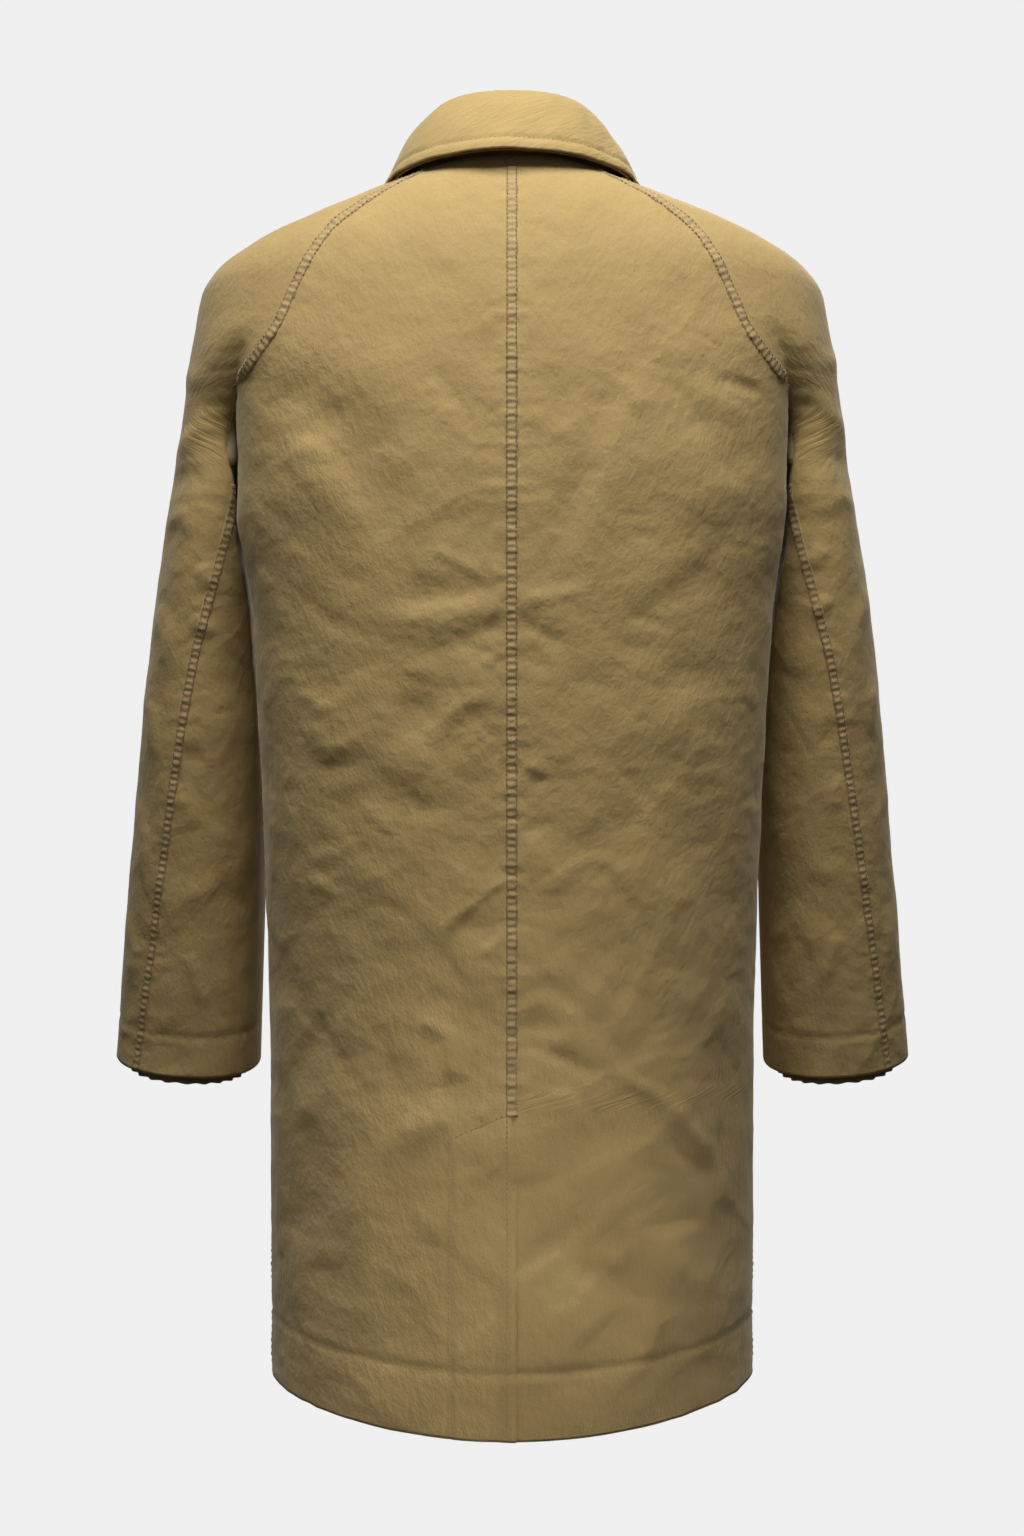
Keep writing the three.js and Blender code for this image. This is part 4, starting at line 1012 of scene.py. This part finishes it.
left, row_x = back["left"], VENT_WIDTH - 1.5
centre = down_at(0.0005, NECK_SIDE_DROP + 3, VENT_TOP + 2)
felled("centre_back_seam", left, centre, coat_rides, 1)
stitches("centre_back_stitches", two_rows(left, centre), coat_rides)


def slanted(t):
    x = mix(2.0, row_x, t)
    v = body_v(VENT_TOP + VENT_SLANT * x / VENT_WIDTH - 1)
    return u_of_x(left, x, v), v


stitches("vent_stitches", [
    (left, slanted, 0, 0),
    (left, down_at_x(left, row_x, VENT_TOP + VENT_SLANT - 1, HEM_DEPTH - 3), 0, 0),
    (left, down_at_x(left, 3.5, VENT_TOP + 4, HEM_DEPTH - 3), 0, 0),
], bends_vent)
HEM_ROW, HEM_ROW_LIFT = body_v(HEM_DEPTH - HEM_BAND), -0.4
for side, start in (("left", 0.17), ("right", 0.16)):
    hem_row = (back[side], level_at(HEM_ROW, start, 0.995), 0, HEM_ROW_LIFT)
    stitches(f"back_hem_stitches_{side}", [hem_row], coat_rides)
for side in ("left", "right"):
    raglan_path = down_at(0.986, NECK_SIDE_DROP + 4, CREASE_DEPTH - 4)
    felled(f"raglan_back_seam_{side}", back[side], raglan_path, coat_rides, 4)
    stitches(f"raglan_back_stitches_{side}", two_rows(back[side], raglan_path), coat_rides)
    side_path = down_at(0.985, UNDERARM_DEPTH + 6, HEM_DEPTH - 2)
    felled(f"side_seam_{side}", back[side], side_path, coat_rides, 6, 7)

# %% [markdown]
# ## The fronts
# Each front runs from the buttoning edge to the raglan and side seams. The left one lies on top and
# hides the buttons; under the overlap the right one sinks 10 mm.

# %% Front panels, facings and linings
UNDERLAP, FACING_WIDTH = 10, 78
FACING_INSET = SHELL * 2 + 1.2
NEAR_SHARE, NEAR_X = 0.42, 64.0  # this share of a front's columns lies between its edge and x = 64


def front_face(side, inset=0.0, share=1.0, first=-FRONT_OVERLAP, last=None):
    """A front's surface in its own half: u runs from the front edge to the side, or to x = last."""
    def face(u, v):
        depth = depth_of(v)
        near, far = (np.clip(w, 0, 1) for w in (u / NEAR_SHARE, (u - NEAR_SHARE) / (1 - NEAR_SHARE)))
        x = mix(first, NEAR_X, near) if last is None else mix(first, last, u)
        lap = UNDERLAP * smooth((62 - x) / 30) if side == "right" else 0.0
        flat = body_at_x(depth, x, False, inset + lap)
        if last is None:
            beyond = body_across(depth, far * share, False, NEAR_X, inset)
            flat = np.where((u > NEAR_SHARE)[..., None], beyond, flat)
        return flat

    return face if side == "left" else mirror(face)


def front_relief(side, amount=1.0):
    def relief(base, u, v):
        depth = depth_of(v)
        x = np.abs(base[..., 0]) + (400 if side == "left" else 900)
        wash = creases(np.stack([x, base[..., 1], base[..., 2]], -1), 20)
        calm = (1 - 0.6 * smooth((u - 0.75) / 0.2)) * mix(0.5, 1, smooth((depth - 80) / 140))
        edge = 1 - 0.6 * smooth((0.3 - u) / 0.2)
        flutes = 2.2 * np.sin(u * 17 + 1) * smooth((depth - 480) / 400)
        flutes = flutes * smooth((u - 0.35) / 0.2) * smooth((0.95 - u) / 0.2)
        sewn = pucker((1 - u) * 180, depth, 15, 12, 0.4) + hem_dip(depth)
        return (wash * calm * edge + flutes) * amount + sewn * (amount > 0.9)

    return relief


front = {}
raglan_path = down_at(0.984, NECK_SIDE_DROP + 6, CREASE_DEPTH - 4)
for side in ("left", "right"):
    moves, calm = bends_front(side), front_relief(side, 0.3)
    cloth = Cloth(front_face(side), 96, 320, out_of_body, front_relief(side))
    front[side] = cloth
    nodes = (f"front_panel_{side}", f"front_flap_{side}")
    sew(cloth, f"front_{side}", KHAKI, hem_wall(cloth), moves, nodes)
    place = front_face(side, FACING_INSET, 1, 2 - FRONT_OVERLAP, FACING_WIDTH - FRONT_OVERLAP)
    facing = Cloth(place, 24, 200, out_of_body, calm)
    nodes = (f"facing_{side}", f"facing_flap_{side}")
    sew(facing, f"facing_{side}", KHAKI_PAINTED_SHADE, LINING, moves, nodes)
    place = front_face(side, 0, 0.965, FACING_WIDTH - FRONT_OVERLAP - 2)
    lining = Cloth(place, 48, 150, out_of_body, calm, sink=LINING_DEPTH + 0.4)
    name = f"front_lining_{side}"
    sew(lining, name, LINING_CLOTH, LINING, moves, (name,))
    rows = [(cloth, lambda t: (0 * t + 0.028, mix(0.01, 0.997, t)), 0, 0)]
    if side == "left":
        rows.append((cloth, lambda t: (0 * t + 0.235, mix(0.06, 0.82, t)), 0, 0))
    stitches(f"front_edge_stitches_{side}", rows, moves)
    hem_row = (cloth, level_at(HEM_ROW, 0.26, 0.995), 0, HEM_ROW_LIFT)
    stitches(f"front_hem_stitches_{side}", [hem_row], moves)
    felled(f"raglan_front_seam_{side}", cloth, raglan_path, coat_rides, 9)
    stitches(f"raglan_front_stitches_{side}", two_rows(cloth, raglan_path), coat_rides)
print("fronts", [round(s) for s in front["left"].size], "mm")

# %% Buttonhole strip
place = front_face("left", FACING_INSET + LINING + 0.8, 1, 5 - FRONT_OVERLAP, 16)
strip = Cloth(place, 12, 160, out_of_body, front_relief("left", 0.2))
name = "buttonhole_strip"
sew(strip, name, KHAKI_PAINTED_SHADE, LINING, bends_front("left"), (name,))
print("buttonhole strip", [round(s) for s in strip.size], "mm")


# %% Back lining
def back_lining(u, v):
    depth = depth_of(v * 0.955)
    return body_across(depth, u * 0.965, True, mix(0.4, VENT_WIDTH + 6, vent_slant(depth)))


def back_lining_relief(base, u, v):
    return 0.5 * creases(base, 60) * smooth((u + 0.1) / 0.2)


for side, face in (("left", back_lining), ("right", mirror(back_lining))):
    cloth = Cloth(face, 48, 160, out_of_body, back_lining_relief, sink=LINING_DEPTH + 1.5)
    name = f"back_lining_{side}"
    sew(cloth, name, LINING_CLOTH, LINING, coat_rides, (name,))
print("back linings", [round(s) for s in cloth.size], "mm")

# %% [markdown]
# ## The sleeves
# A raglan sleeve is one cloth from the neck to the wrist. A felled seam runs from the back of the
# armhole down and outward to the cuff. Inside are a lining and a gathered storm cuff.

# %% Sleeve cloth
def out_of_sleeve(points):
    depth = np.maximum(-points[..., 2], CREASE_DEPTH)
    x = np.minimum(np.abs(points[..., 0]) * 0.7, sleeve_outer(depth) - sleeve_half(depth) + 6)
    core_z = np.where(-points[..., 2] < UNDERARM_DEPTH, -depth - 20, points[..., 2])
    return from_core(points, x * np.sign(points[..., 0]), sleeve_middle(depth), core_z)


SLEEVE_FOLDS = [
    ([(262, 214), (236, 200), (222, 178)], 9, 3.0, 1.0),
    ([(262, 238), (240, 232), (224, 244)], 8, -2.2, 1.0),
    ([(258, 150), (238, 160), (226, 150)], 8, 2.0, 1.0),
    ([(270, 268), (246, 262), (232, 282)], 7, 2.2, 1.0),
    ([(232, 300), (222, 318)], 6, 2.0, 1.0),
    ([(276, 330), (262, 352), (258, 390)], 8, 2.4, 1.0),
    ([(236, 336), (222, 356)], 6, 1.8, 1.0),
    ([(286, 392), (272, 410), (270, 450)], 6, 2.4, 1.0),
    ([(292, 470), (280, 500), (282, 540)], 6, 2.2, 1.0),
    ([(250, 470), (236, 500)], 8, 1.6, 1.0),
    ([(232, 440), (250, 446)], 8, -1.6, 1.0),
    ([(222, 540), (252, 548)], 9, 1.6, 1.0),
    ([(246, 590), (238, 618), (228, 636)], 6, 2.0, 1.0),
    ([(300, 560), (290, 590), (294, 630)], 6, 2.2, 1.0),
    ([(302, 642), (296, 660)], 5, 1.6, 1.0),
]


def sleeve_relief(side):
    sign = SIDES[side]

    def relief(base, u, v):
        x, depth = base[..., 0] * sign, -base[..., 2]
        rear = smooth((base[..., 1] - sleeve_middle(depth) + 20) / 40)
        shift = 0 if side == "left" else 14
        folds = 0.8 * sum(fold(x, depth + shift, *row) for row in SLEEVE_FOLDS)
        wash = creases(base * (1.1, 1.1, 1), 31 if side == "left" else 45)
        calm = mix(0.5, 1.15, smooth((depth - 90) / 130))
        body_side = smooth((0.10 - np.minimum(u, 1 - u)) / 0.06) * smooth((depth - 140) / 60)
        edge = smooth(np.minimum(u, 1 - u) / 0.04)
        elbow = 2.0 * np.sin(depth / 15 + 2.5 * noise(base, 60, 70)) * bump(depth - 400, 130) * (1 - rear)
        seam = pucker(np.abs(u - hind_seam(depth)) * 330, depth, 12, 12, 0.5)
        seam = seam * smooth((depth - 240) / 30)
        hem = -0.7 * bump(v - 0.953, 0.004) + pucker(np.abs(v - 0.953) * 680, u * 330, 13, 9, 0.35)
        outer = sleeve_outer(np.maximum(depth, CREASE_DEPTH))
        rim = smooth((outer - np.abs(base[..., 0])) / 16 + 0.15)
        rim = rim * smooth((np.abs(x) - outer + 2 * sleeve_half(depth)) / 12)
        rim = np.where(depth > CREASE_DEPTH - 30, rim, 1)
        crumpled = folds * rear * rim + (wash * calm + elbow) * mix(0.35, 1, rim)
        return (crumpled * (1 - 0.8 * body_side) + seam + hem) * edge

    return relief


EASE = ((-36, 0.1), (-24, 0.15), (-12, 0.17), (0, 0.16), (12, 0.17), (24, 0.15), (36, 0.1))
CUFF_HEM = 31


def sleeve_face(u, v):
    """The sleeve, with the turn under the arm eased over 72 mm as soft cloth does."""
    depth, turn = mix(NECK_SIDE_DROP, SLEEVE_HEM_DEPTH, v), mix(0.0005, 0.9995, u)
    ease = smooth((depth - 110) / 40) * smooth((300 - depth) / 40) * smooth(np.minimum(u, 1 - u) / 0.08)
    eased = 0
    for step, weight in EASE:
        near = np.clip(depth + step, NECK_SIDE_DROP, SLEEVE_HEM_DEPTH)
        eased = eased + weight * on_sleeve(near, turn)
    return mix(on_sleeve(depth, turn), eased, ease[..., None])


def sleeve_v(depth):
    return (depth - NECK_SIDE_DROP) / (SLEEVE_HEM_DEPTH - NECK_SIDE_DROP)


def hind(t):
    depth = mix(UNDERARM_DEPTH + 14, SLEEVE_HEM_DEPTH - 1, t)
    return hind_seam(depth), sleeve_v(depth)


cuff_row = sleeve_v(SLEEVE_HEM_DEPTH - CUFF_HEM)
for side, face in (("left", sleeve_face), ("right", mirror(sleeve_face))):
    cloth, moves = Cloth(face, 150, 300, out_of_sleeve, sleeve_relief(side)), bends_sleeve(side)
    wall = np.where(cloth.v > cuff_row, SHELL * 1.7, SHELL)[:, None]
    nodes = tuple(f"sleeve_{part}_{side}" for part in ("head", "upper", "under"))
    sew(cloth, f"sleeve_{side}", KHAKI, wall, moves, nodes)
    felled(f"hind_arm_seam_{side}", cloth, hind, moves, 7, 7.5)
    stitches(f"hind_arm_stitches_{side}", two_rows(cloth, hind, 2.8), moves)
    hem_row = (cloth, level_at(cuff_row, 0.004, 0.996), 0, HEM_ROW_LIFT)
    stitches(f"cuff_hem_stitches_{side}", [hem_row], moves)
print("sleeves", [round(s) for s in cloth.size], "mm")

# %% Sleeve linings and storm cuffs
CUFF_GATHERS = 22


def sleeve_lining(u, v):
    depth = mix(NECK_SIDE_DROP + 4, SLEEVE_HEM_DEPTH - 40, v)
    turn = mix(0.03, 0.97, u) + (u - 0.5) * 0.05 * smooth((depth - 210) / 40)
    deep = 6.0 + 1.5 * smooth((depth - 180) / 60)
    return on_sleeve(depth, np.clip(turn, 0, 1), deep)


def storm_cuff(u, v):
    depth = mix(SLEEVE_HEM_DEPTH - 62, SLEEVE_HEM_DEPTH + 8, v)
    wave = 1.6 * np.cos(2 * pi * CUFF_GATHERS * u + 1.2 * np.sin(7 * u))
    return on_sleeve(depth, mix(0.002, 0.998, u), 11.5 + wave)


def lining_relief(base, u, v):
    return 0.35 * creases(base, 80)


def cuff_relief(base, u, v):
    return 0.5 * np.cos(v * 40) * smooth((v - 0.6) / 0.2)


for side, turned in (("left", lambda face: face), ("right", mirror)):
    moves = bends_sleeve(side)
    cloth = Cloth(turned(sleeve_lining), 72, 130, out_of_sleeve, lining_relief)
    nodes = (f"sleeve_head_lining_{side}", f"sleeve_lining_{side}")
    sew(cloth, f"sleeve_lining_{side}", LINING_CLOTH, LINING, moves, nodes)
    cuff = Cloth(turned(storm_cuff), 264, 26, out_of_sleeve, cuff_relief)
    name = f"storm_cuff_{side}"
    sew(cuff, name, KHAKI_PAINTED_SHADE, 1.4, moves, (name,))
print("storm cuffs", [round(s) for s in cuff.size], "mm")

# %% [markdown]
# ## The collar
# A stand rises from the neck seam to the fold line, and two cloths fall from the fold: the collar
# leaf outside and the under collar beneath it. A row of stitches runs 6 mm inside the edge.

# %% Collar
STAND_FROM = radians(-79)
LEAF_ROUND, LEAF_ROW = 9, 0.855


def neck_point(angle, inset):
    return Ring(NECK_SIDE_DROP, True, inset).point(angle)


def fold_point(angle):
    ahead = np.clip((1 - np.sin(angle)) / 2, 0, 1)
    rear = np.sin(angle) > 0
    y = 4 + np.where(rear, 60, -60) * np.abs(np.sin(angle)) ** 0.9
    x = 69 * np.sign(np.cos(angle)) * np.abs(np.cos(angle)) ** 0.9
    return np.stack([x, y, neck_point(angle, 0)[..., 2] + mix(51, 26, smooth(ahead))], -1)


leaf_edge_depth = through((-78, 50), (-45, 30), (0, 14.5), (90, 10))
leaf_lift = through((-78, 3), (0, 4), (90, 17))


def stand_angle(u):
    return mix(STAND_FROM, pi - STAND_FROM, u)


def leaf_point(u, v, inset=0.0):
    angle = stand_angle(u)
    degrees = np.degrees(np.where(angle > pi / 2, pi - angle, angle))
    top = fold_point(angle)
    out = np.stack([np.cos(angle), np.sin(angle), 0 * angle], -1)
    edge = Ring(leaf_edge_depth(degrees), True).point(angle)
    edge = edge + out * leaf_lift(degrees)[..., None] + (0, 0, 3)
    knee = mix(top, edge, 0.35) + (out + (0, 0, 0.25)) * LEAF_ROUND
    v = v[..., None]
    bowed = mix(mix(top, knee, v), mix(knee, edge, v), v)
    return bowed - unit(out + (0, 0, 0.9)) * inset


def out_of_collar(points):
    return from_core(points, 0.0, 5.0, points[..., 2] - 60)


def leaf_relief(base, u, v):
    girth = u * 420
    spots = np.stack([girth + 26 * v, 30 * v, 0 * u], -1)
    rumple = 1.5 * noise(spots, 30, 50) + 0.8 * noise(spots, 13, 51) + 0.4 * creases(base, 90)
    row = -0.8 * bump(v - LEAF_ROW, 0.02) + pucker(np.abs(v - LEAF_ROW) * 42, girth, 52, 6, 0.35)
    edge_roll = 0.9 * smooth((v - 0.88) / 0.06)
    return rumple * smooth(v / 0.25) + row + edge_roll


def under_point(u, v):
    return leaf_point(mix(0.004, 0.996, u), mix(0.08, 0.975, v), 2.7)


def under_relief(base, u, v):
    return 0.55 * leaf_relief(base, u, v) - 1.2


def stand_face(u, v):
    angle = stand_angle(u)
    base = neck_point(angle, 2.6) - (0, 0, 7)
    return mix(base, fold_point(angle) - (0, 0, 5.2), v[..., None])


def out_of_stand(points):
    return from_core(points, 0.0, 5.0, points[..., 2])


def stand_relief(base, u, v):
    return 0.4 * noise(base, 26, 55)


leaf = Cloth(leaf_point, 300, 44, out_of_collar, leaf_relief)
under = Cloth(under_point, 150, 22, out_of_collar, under_relief)
stand = Cloth(stand_face, 150, 22, out_of_stand, stand_relief)
for name, cloth, finish, wall, slot in (
    ("collar_leaf", leaf, KHAKI, 1.3, "shell"),
    ("under_collar", under, KHAKI_PAINTED_SHADE, 0.9, "shell_shaded"),
    ("collar_stand", stand, KHAKI, 1.6, "shell"),
):
    sew(cloth, name, finish, wall, coat_rides, (name,))


def end_of_leaf(u):
    return lambda t: (0 * t + u, mix(0.12, LEAF_ROW, t))


stitches("collar_stitches", [
    (leaf, level_at(LEAF_ROW, 0.012, 0.988), 0, -0.3),
    (leaf, end_of_leaf(0.012), 0, 0),
    (leaf, end_of_leaf(0.988), 0, 0),
], coat_rides)
rows = [(stand, level_at(v, 0.01, 0.99), 0, 0) for v in (0.3, 0.6)]
stitches("collar_stand_stitches", rows, coat_rides)

# %% [markdown]
# ## Pockets
# A slanting welt covers each pocket mouth. It is a folded strip, sewn down at both ends. The bag
# hangs between the cloth and the lining.

# %% Pockets
WELT_LENGTH, WELT_WIDTH, WELT_TOP, WELT_TOP_X, WELT_LEAN = 165, 34, 430, 112, 40


def welt_face(u, v):
    depth = WELT_TOP + WELT_LENGTH * v + 6 * u
    return body_at_x(depth, WELT_TOP_X + WELT_LEAN * v + (u - 0.5) * WELT_WIDTH, False, -2.1)


def bag_face(u, v):
    depth = mix(WELT_TOP + 10, WELT_TOP + WELT_LENGTH + 110, v)
    x = WELT_TOP_X + 2 + (u - 0.5) * 68 * (1 - 0.3 * (2 * v - 1) ** 2)
    return body_at_x(depth, x, False, 3.6)


def welt_relief(side):
    relief, share = front_relief(side), WELT_LENGTH / HEM_DEPTH
    return lambda base, u, v: 1.6 + relief(base, 0.6 + 0 * u, WELT_TOP / HEM_DEPTH + share * v)


def along_welt(start, end):
    return lambda t: (mix(start[0], end[0], t), mix(start[1], end[1], t))


WELT_ROWS = (
    along_welt((0.06, 0.035), (0.97, 0.035)),
    along_welt((0.06, 0.965), (0.97, 0.965)),
    along_welt((0.06, 0.035), (0.06, 0.965)),
)
for side, turned in (("left", lambda face: face), ("right", mirror)):
    welt = Cloth(turned(welt_face), 20, 90, out_of_body, welt_relief(side))
    name = f"pocket_welt_{side}"
    sew(welt, name, KHAKI, 3.2, coat_rides, (name,))
    stitches(f"pocket_stitches_{side}", [(welt, path, 0, 0) for path in WELT_ROWS], coat_rides)
    bag, name = Cloth(turned(bag_face), 20, 60, out_of_body), f"pocket_bag_{side}"
    sew(bag, name, LINING_CLOTH, 0.8, coat_rides, (name,))
print("pocket welts", [round(s) for s in welt.size], "mm")

# %% [markdown]
# ## Buttons, hanger loop and label
# The buttons keep their CAD shape: a dished disc with four holes. The loop is a folded tape, and
# the label is a plain woven one.

# %% Small parts
for number in range(1, 6):
    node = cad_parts[f"button_{number}"]
    node.data.materials.clear()
    node.data.materials.append(HORN)

LOOP_SPAN, LOOP_DROP, LOOP_WIDTH, LOOP_CORNER, LOOP_Y = 56, 22, 8, 7.0, NECK_BACK - 12
loop_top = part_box("hanger_loop")[1][2] / MM


def loop_face(u, v):
    """The tape's middle line is a U with round corners; v runs along it and u across the tape."""
    half, drop = LOOP_SPAN / 2 - LOOP_WIDTH / 2, LOOP_DROP - LOOP_WIDTH / 2
    straight, arc = drop - LOOP_CORNER, pi / 2 * LOOP_CORNER
    total = 2 * straight + 2 * arc + 2 * (half - LOOP_CORNER)
    s = np.clip(v, 0, 1) * total
    second_half = s > total / 2
    s = np.where(second_half, total - s, s)
    turn = np.clip((s - straight) / LOOP_CORNER, 0, pi / 2)
    w = (u - 0.5) * (LOOP_WIDTH - 1.0)
    a = -half + LOOP_CORNER * (1 - np.cos(turn)) + np.maximum(s - straight - arc, 0) - w * np.cos(turn)
    b = -np.minimum(s, straight) - LOOP_CORNER * np.sin(turn) - w * np.sin(turn)
    a = np.where(second_half, -a, a)
    return np.stack([a, LOOP_Y + b, 0 * a + loop_top - 0.3], -1)


def loop_relief(base, u, v):
    return -0.5 * np.abs(2 * u - 1) ** 4 + 0.12 * noise(base, 5, 66)


loop = Cloth(loop_face, 8, 120, lambda points: points * 0 + (0, 0, 1), loop_relief)
sew(loop, "hanger_loop_tape", KHAKI_PAINTED_SHADE, 1.3, rides("loop"), ("hanger_loop",))
label_low, label_high = (np.array(c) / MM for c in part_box("neck_label"))


def label_face(u, v):
    x = mix(label_low[0], label_high[0], u)
    z = mix(label_high[2], label_low[2], v)
    return np.stack([x, 0 * x + label_low[1] + 0.1, z], -1)


def label_relief(base, u, v):
    return 0.25 * noise(base, 16, 67) + 0.3 * bump(np.minimum(v, 1 - v), 0.05)


label = Cloth(label_face, 40, 24, lambda points: points * 0 + (0, -1, 0), label_relief)
sew(label, "neck_label_woven", LABEL_CLOTH, 0.5, coat_rides, ("neck_label",))
print("label", [round(s) for s in label.size], "mm")

# %% [markdown]
# ## Studio
# A pale room without corners, a broad soft light almost overhead and a weak one from the camera's
# side. Overhead light picks out the folds and leaves the sleeves in their own shade.

# %% Room and lights
def softbox(name, place, aim, size, power, tint=(1, 1, 1), spread=180):
    light = bpy.data.lights.new(name, "AREA")
    light.shape, light.size, light.size_y = "RECTANGLE", *size
    light.energy, light.color, light.spread = power, tint, radians(spread)
    thing = bpy.data.objects.new(name, light)
    thing.location = place
    thing.rotation_euler = (Vector(aim) - Vector(place)).to_track_quat("-Z", "Y").to_euler()
    thing.visible_camera = False
    bpy.context.scene.collection.objects.link(thing)


softbox("overhead", (0, 0.8, 1.35), (0, 0.1, -0.35), (1.5, 0.9), 54, (1.0, 0.985, 0.93))
softbox("camera_side", (0.4, 2.6, 0.5), (0, 0, -0.5), (1.6, 1.6), 3.4)
softbox("front_side", (-0.5, -2.2, 1.2), (0, 0, -0.4), (1.6, 1.2), 45)
softbox("skirt", (0, 2.2, 0.2), (0, 0.15, -0.8), (0.3, 0.3), 0.11, spread=13)

BACKDROP_LEVEL, ROOM_RADIUS, AIR_LEVEL = 0.87, 9, 0.05
bpy.ops.mesh.primitive_uv_sphere_add(segments=64, ring_count=32, radius=ROOM_RADIUS, location=(0, 0, 0))
room = bpy.context.object
room.name = "studio_room"
pale = Finish("pale_room", Roughness=1.0, Emission_Strength=BACKDROP_LEVEL, Specular_IOR_Level=0)
pale.shader.inputs["Base Color"].default_value = (0, 0, 0, 1)
pale.shader.inputs["Emission Color"].default_value = (1, 1, 1, 1)
room.data.materials.append(pale.material)
room.visible_diffuse = room.visible_glossy = room.visible_shadow = False
world = bpy.data.worlds.new("studio_air")
bpy.context.scene.world = world
world.use_nodes = True
air = world.node_tree.nodes["Background"].inputs
air["Color"].default_value = (1, 0.99, 0.97, 1)
air["Strength"].default_value = AIR_LEVEL
bpy.context.scene.view_settings.view_transform = "Standard"
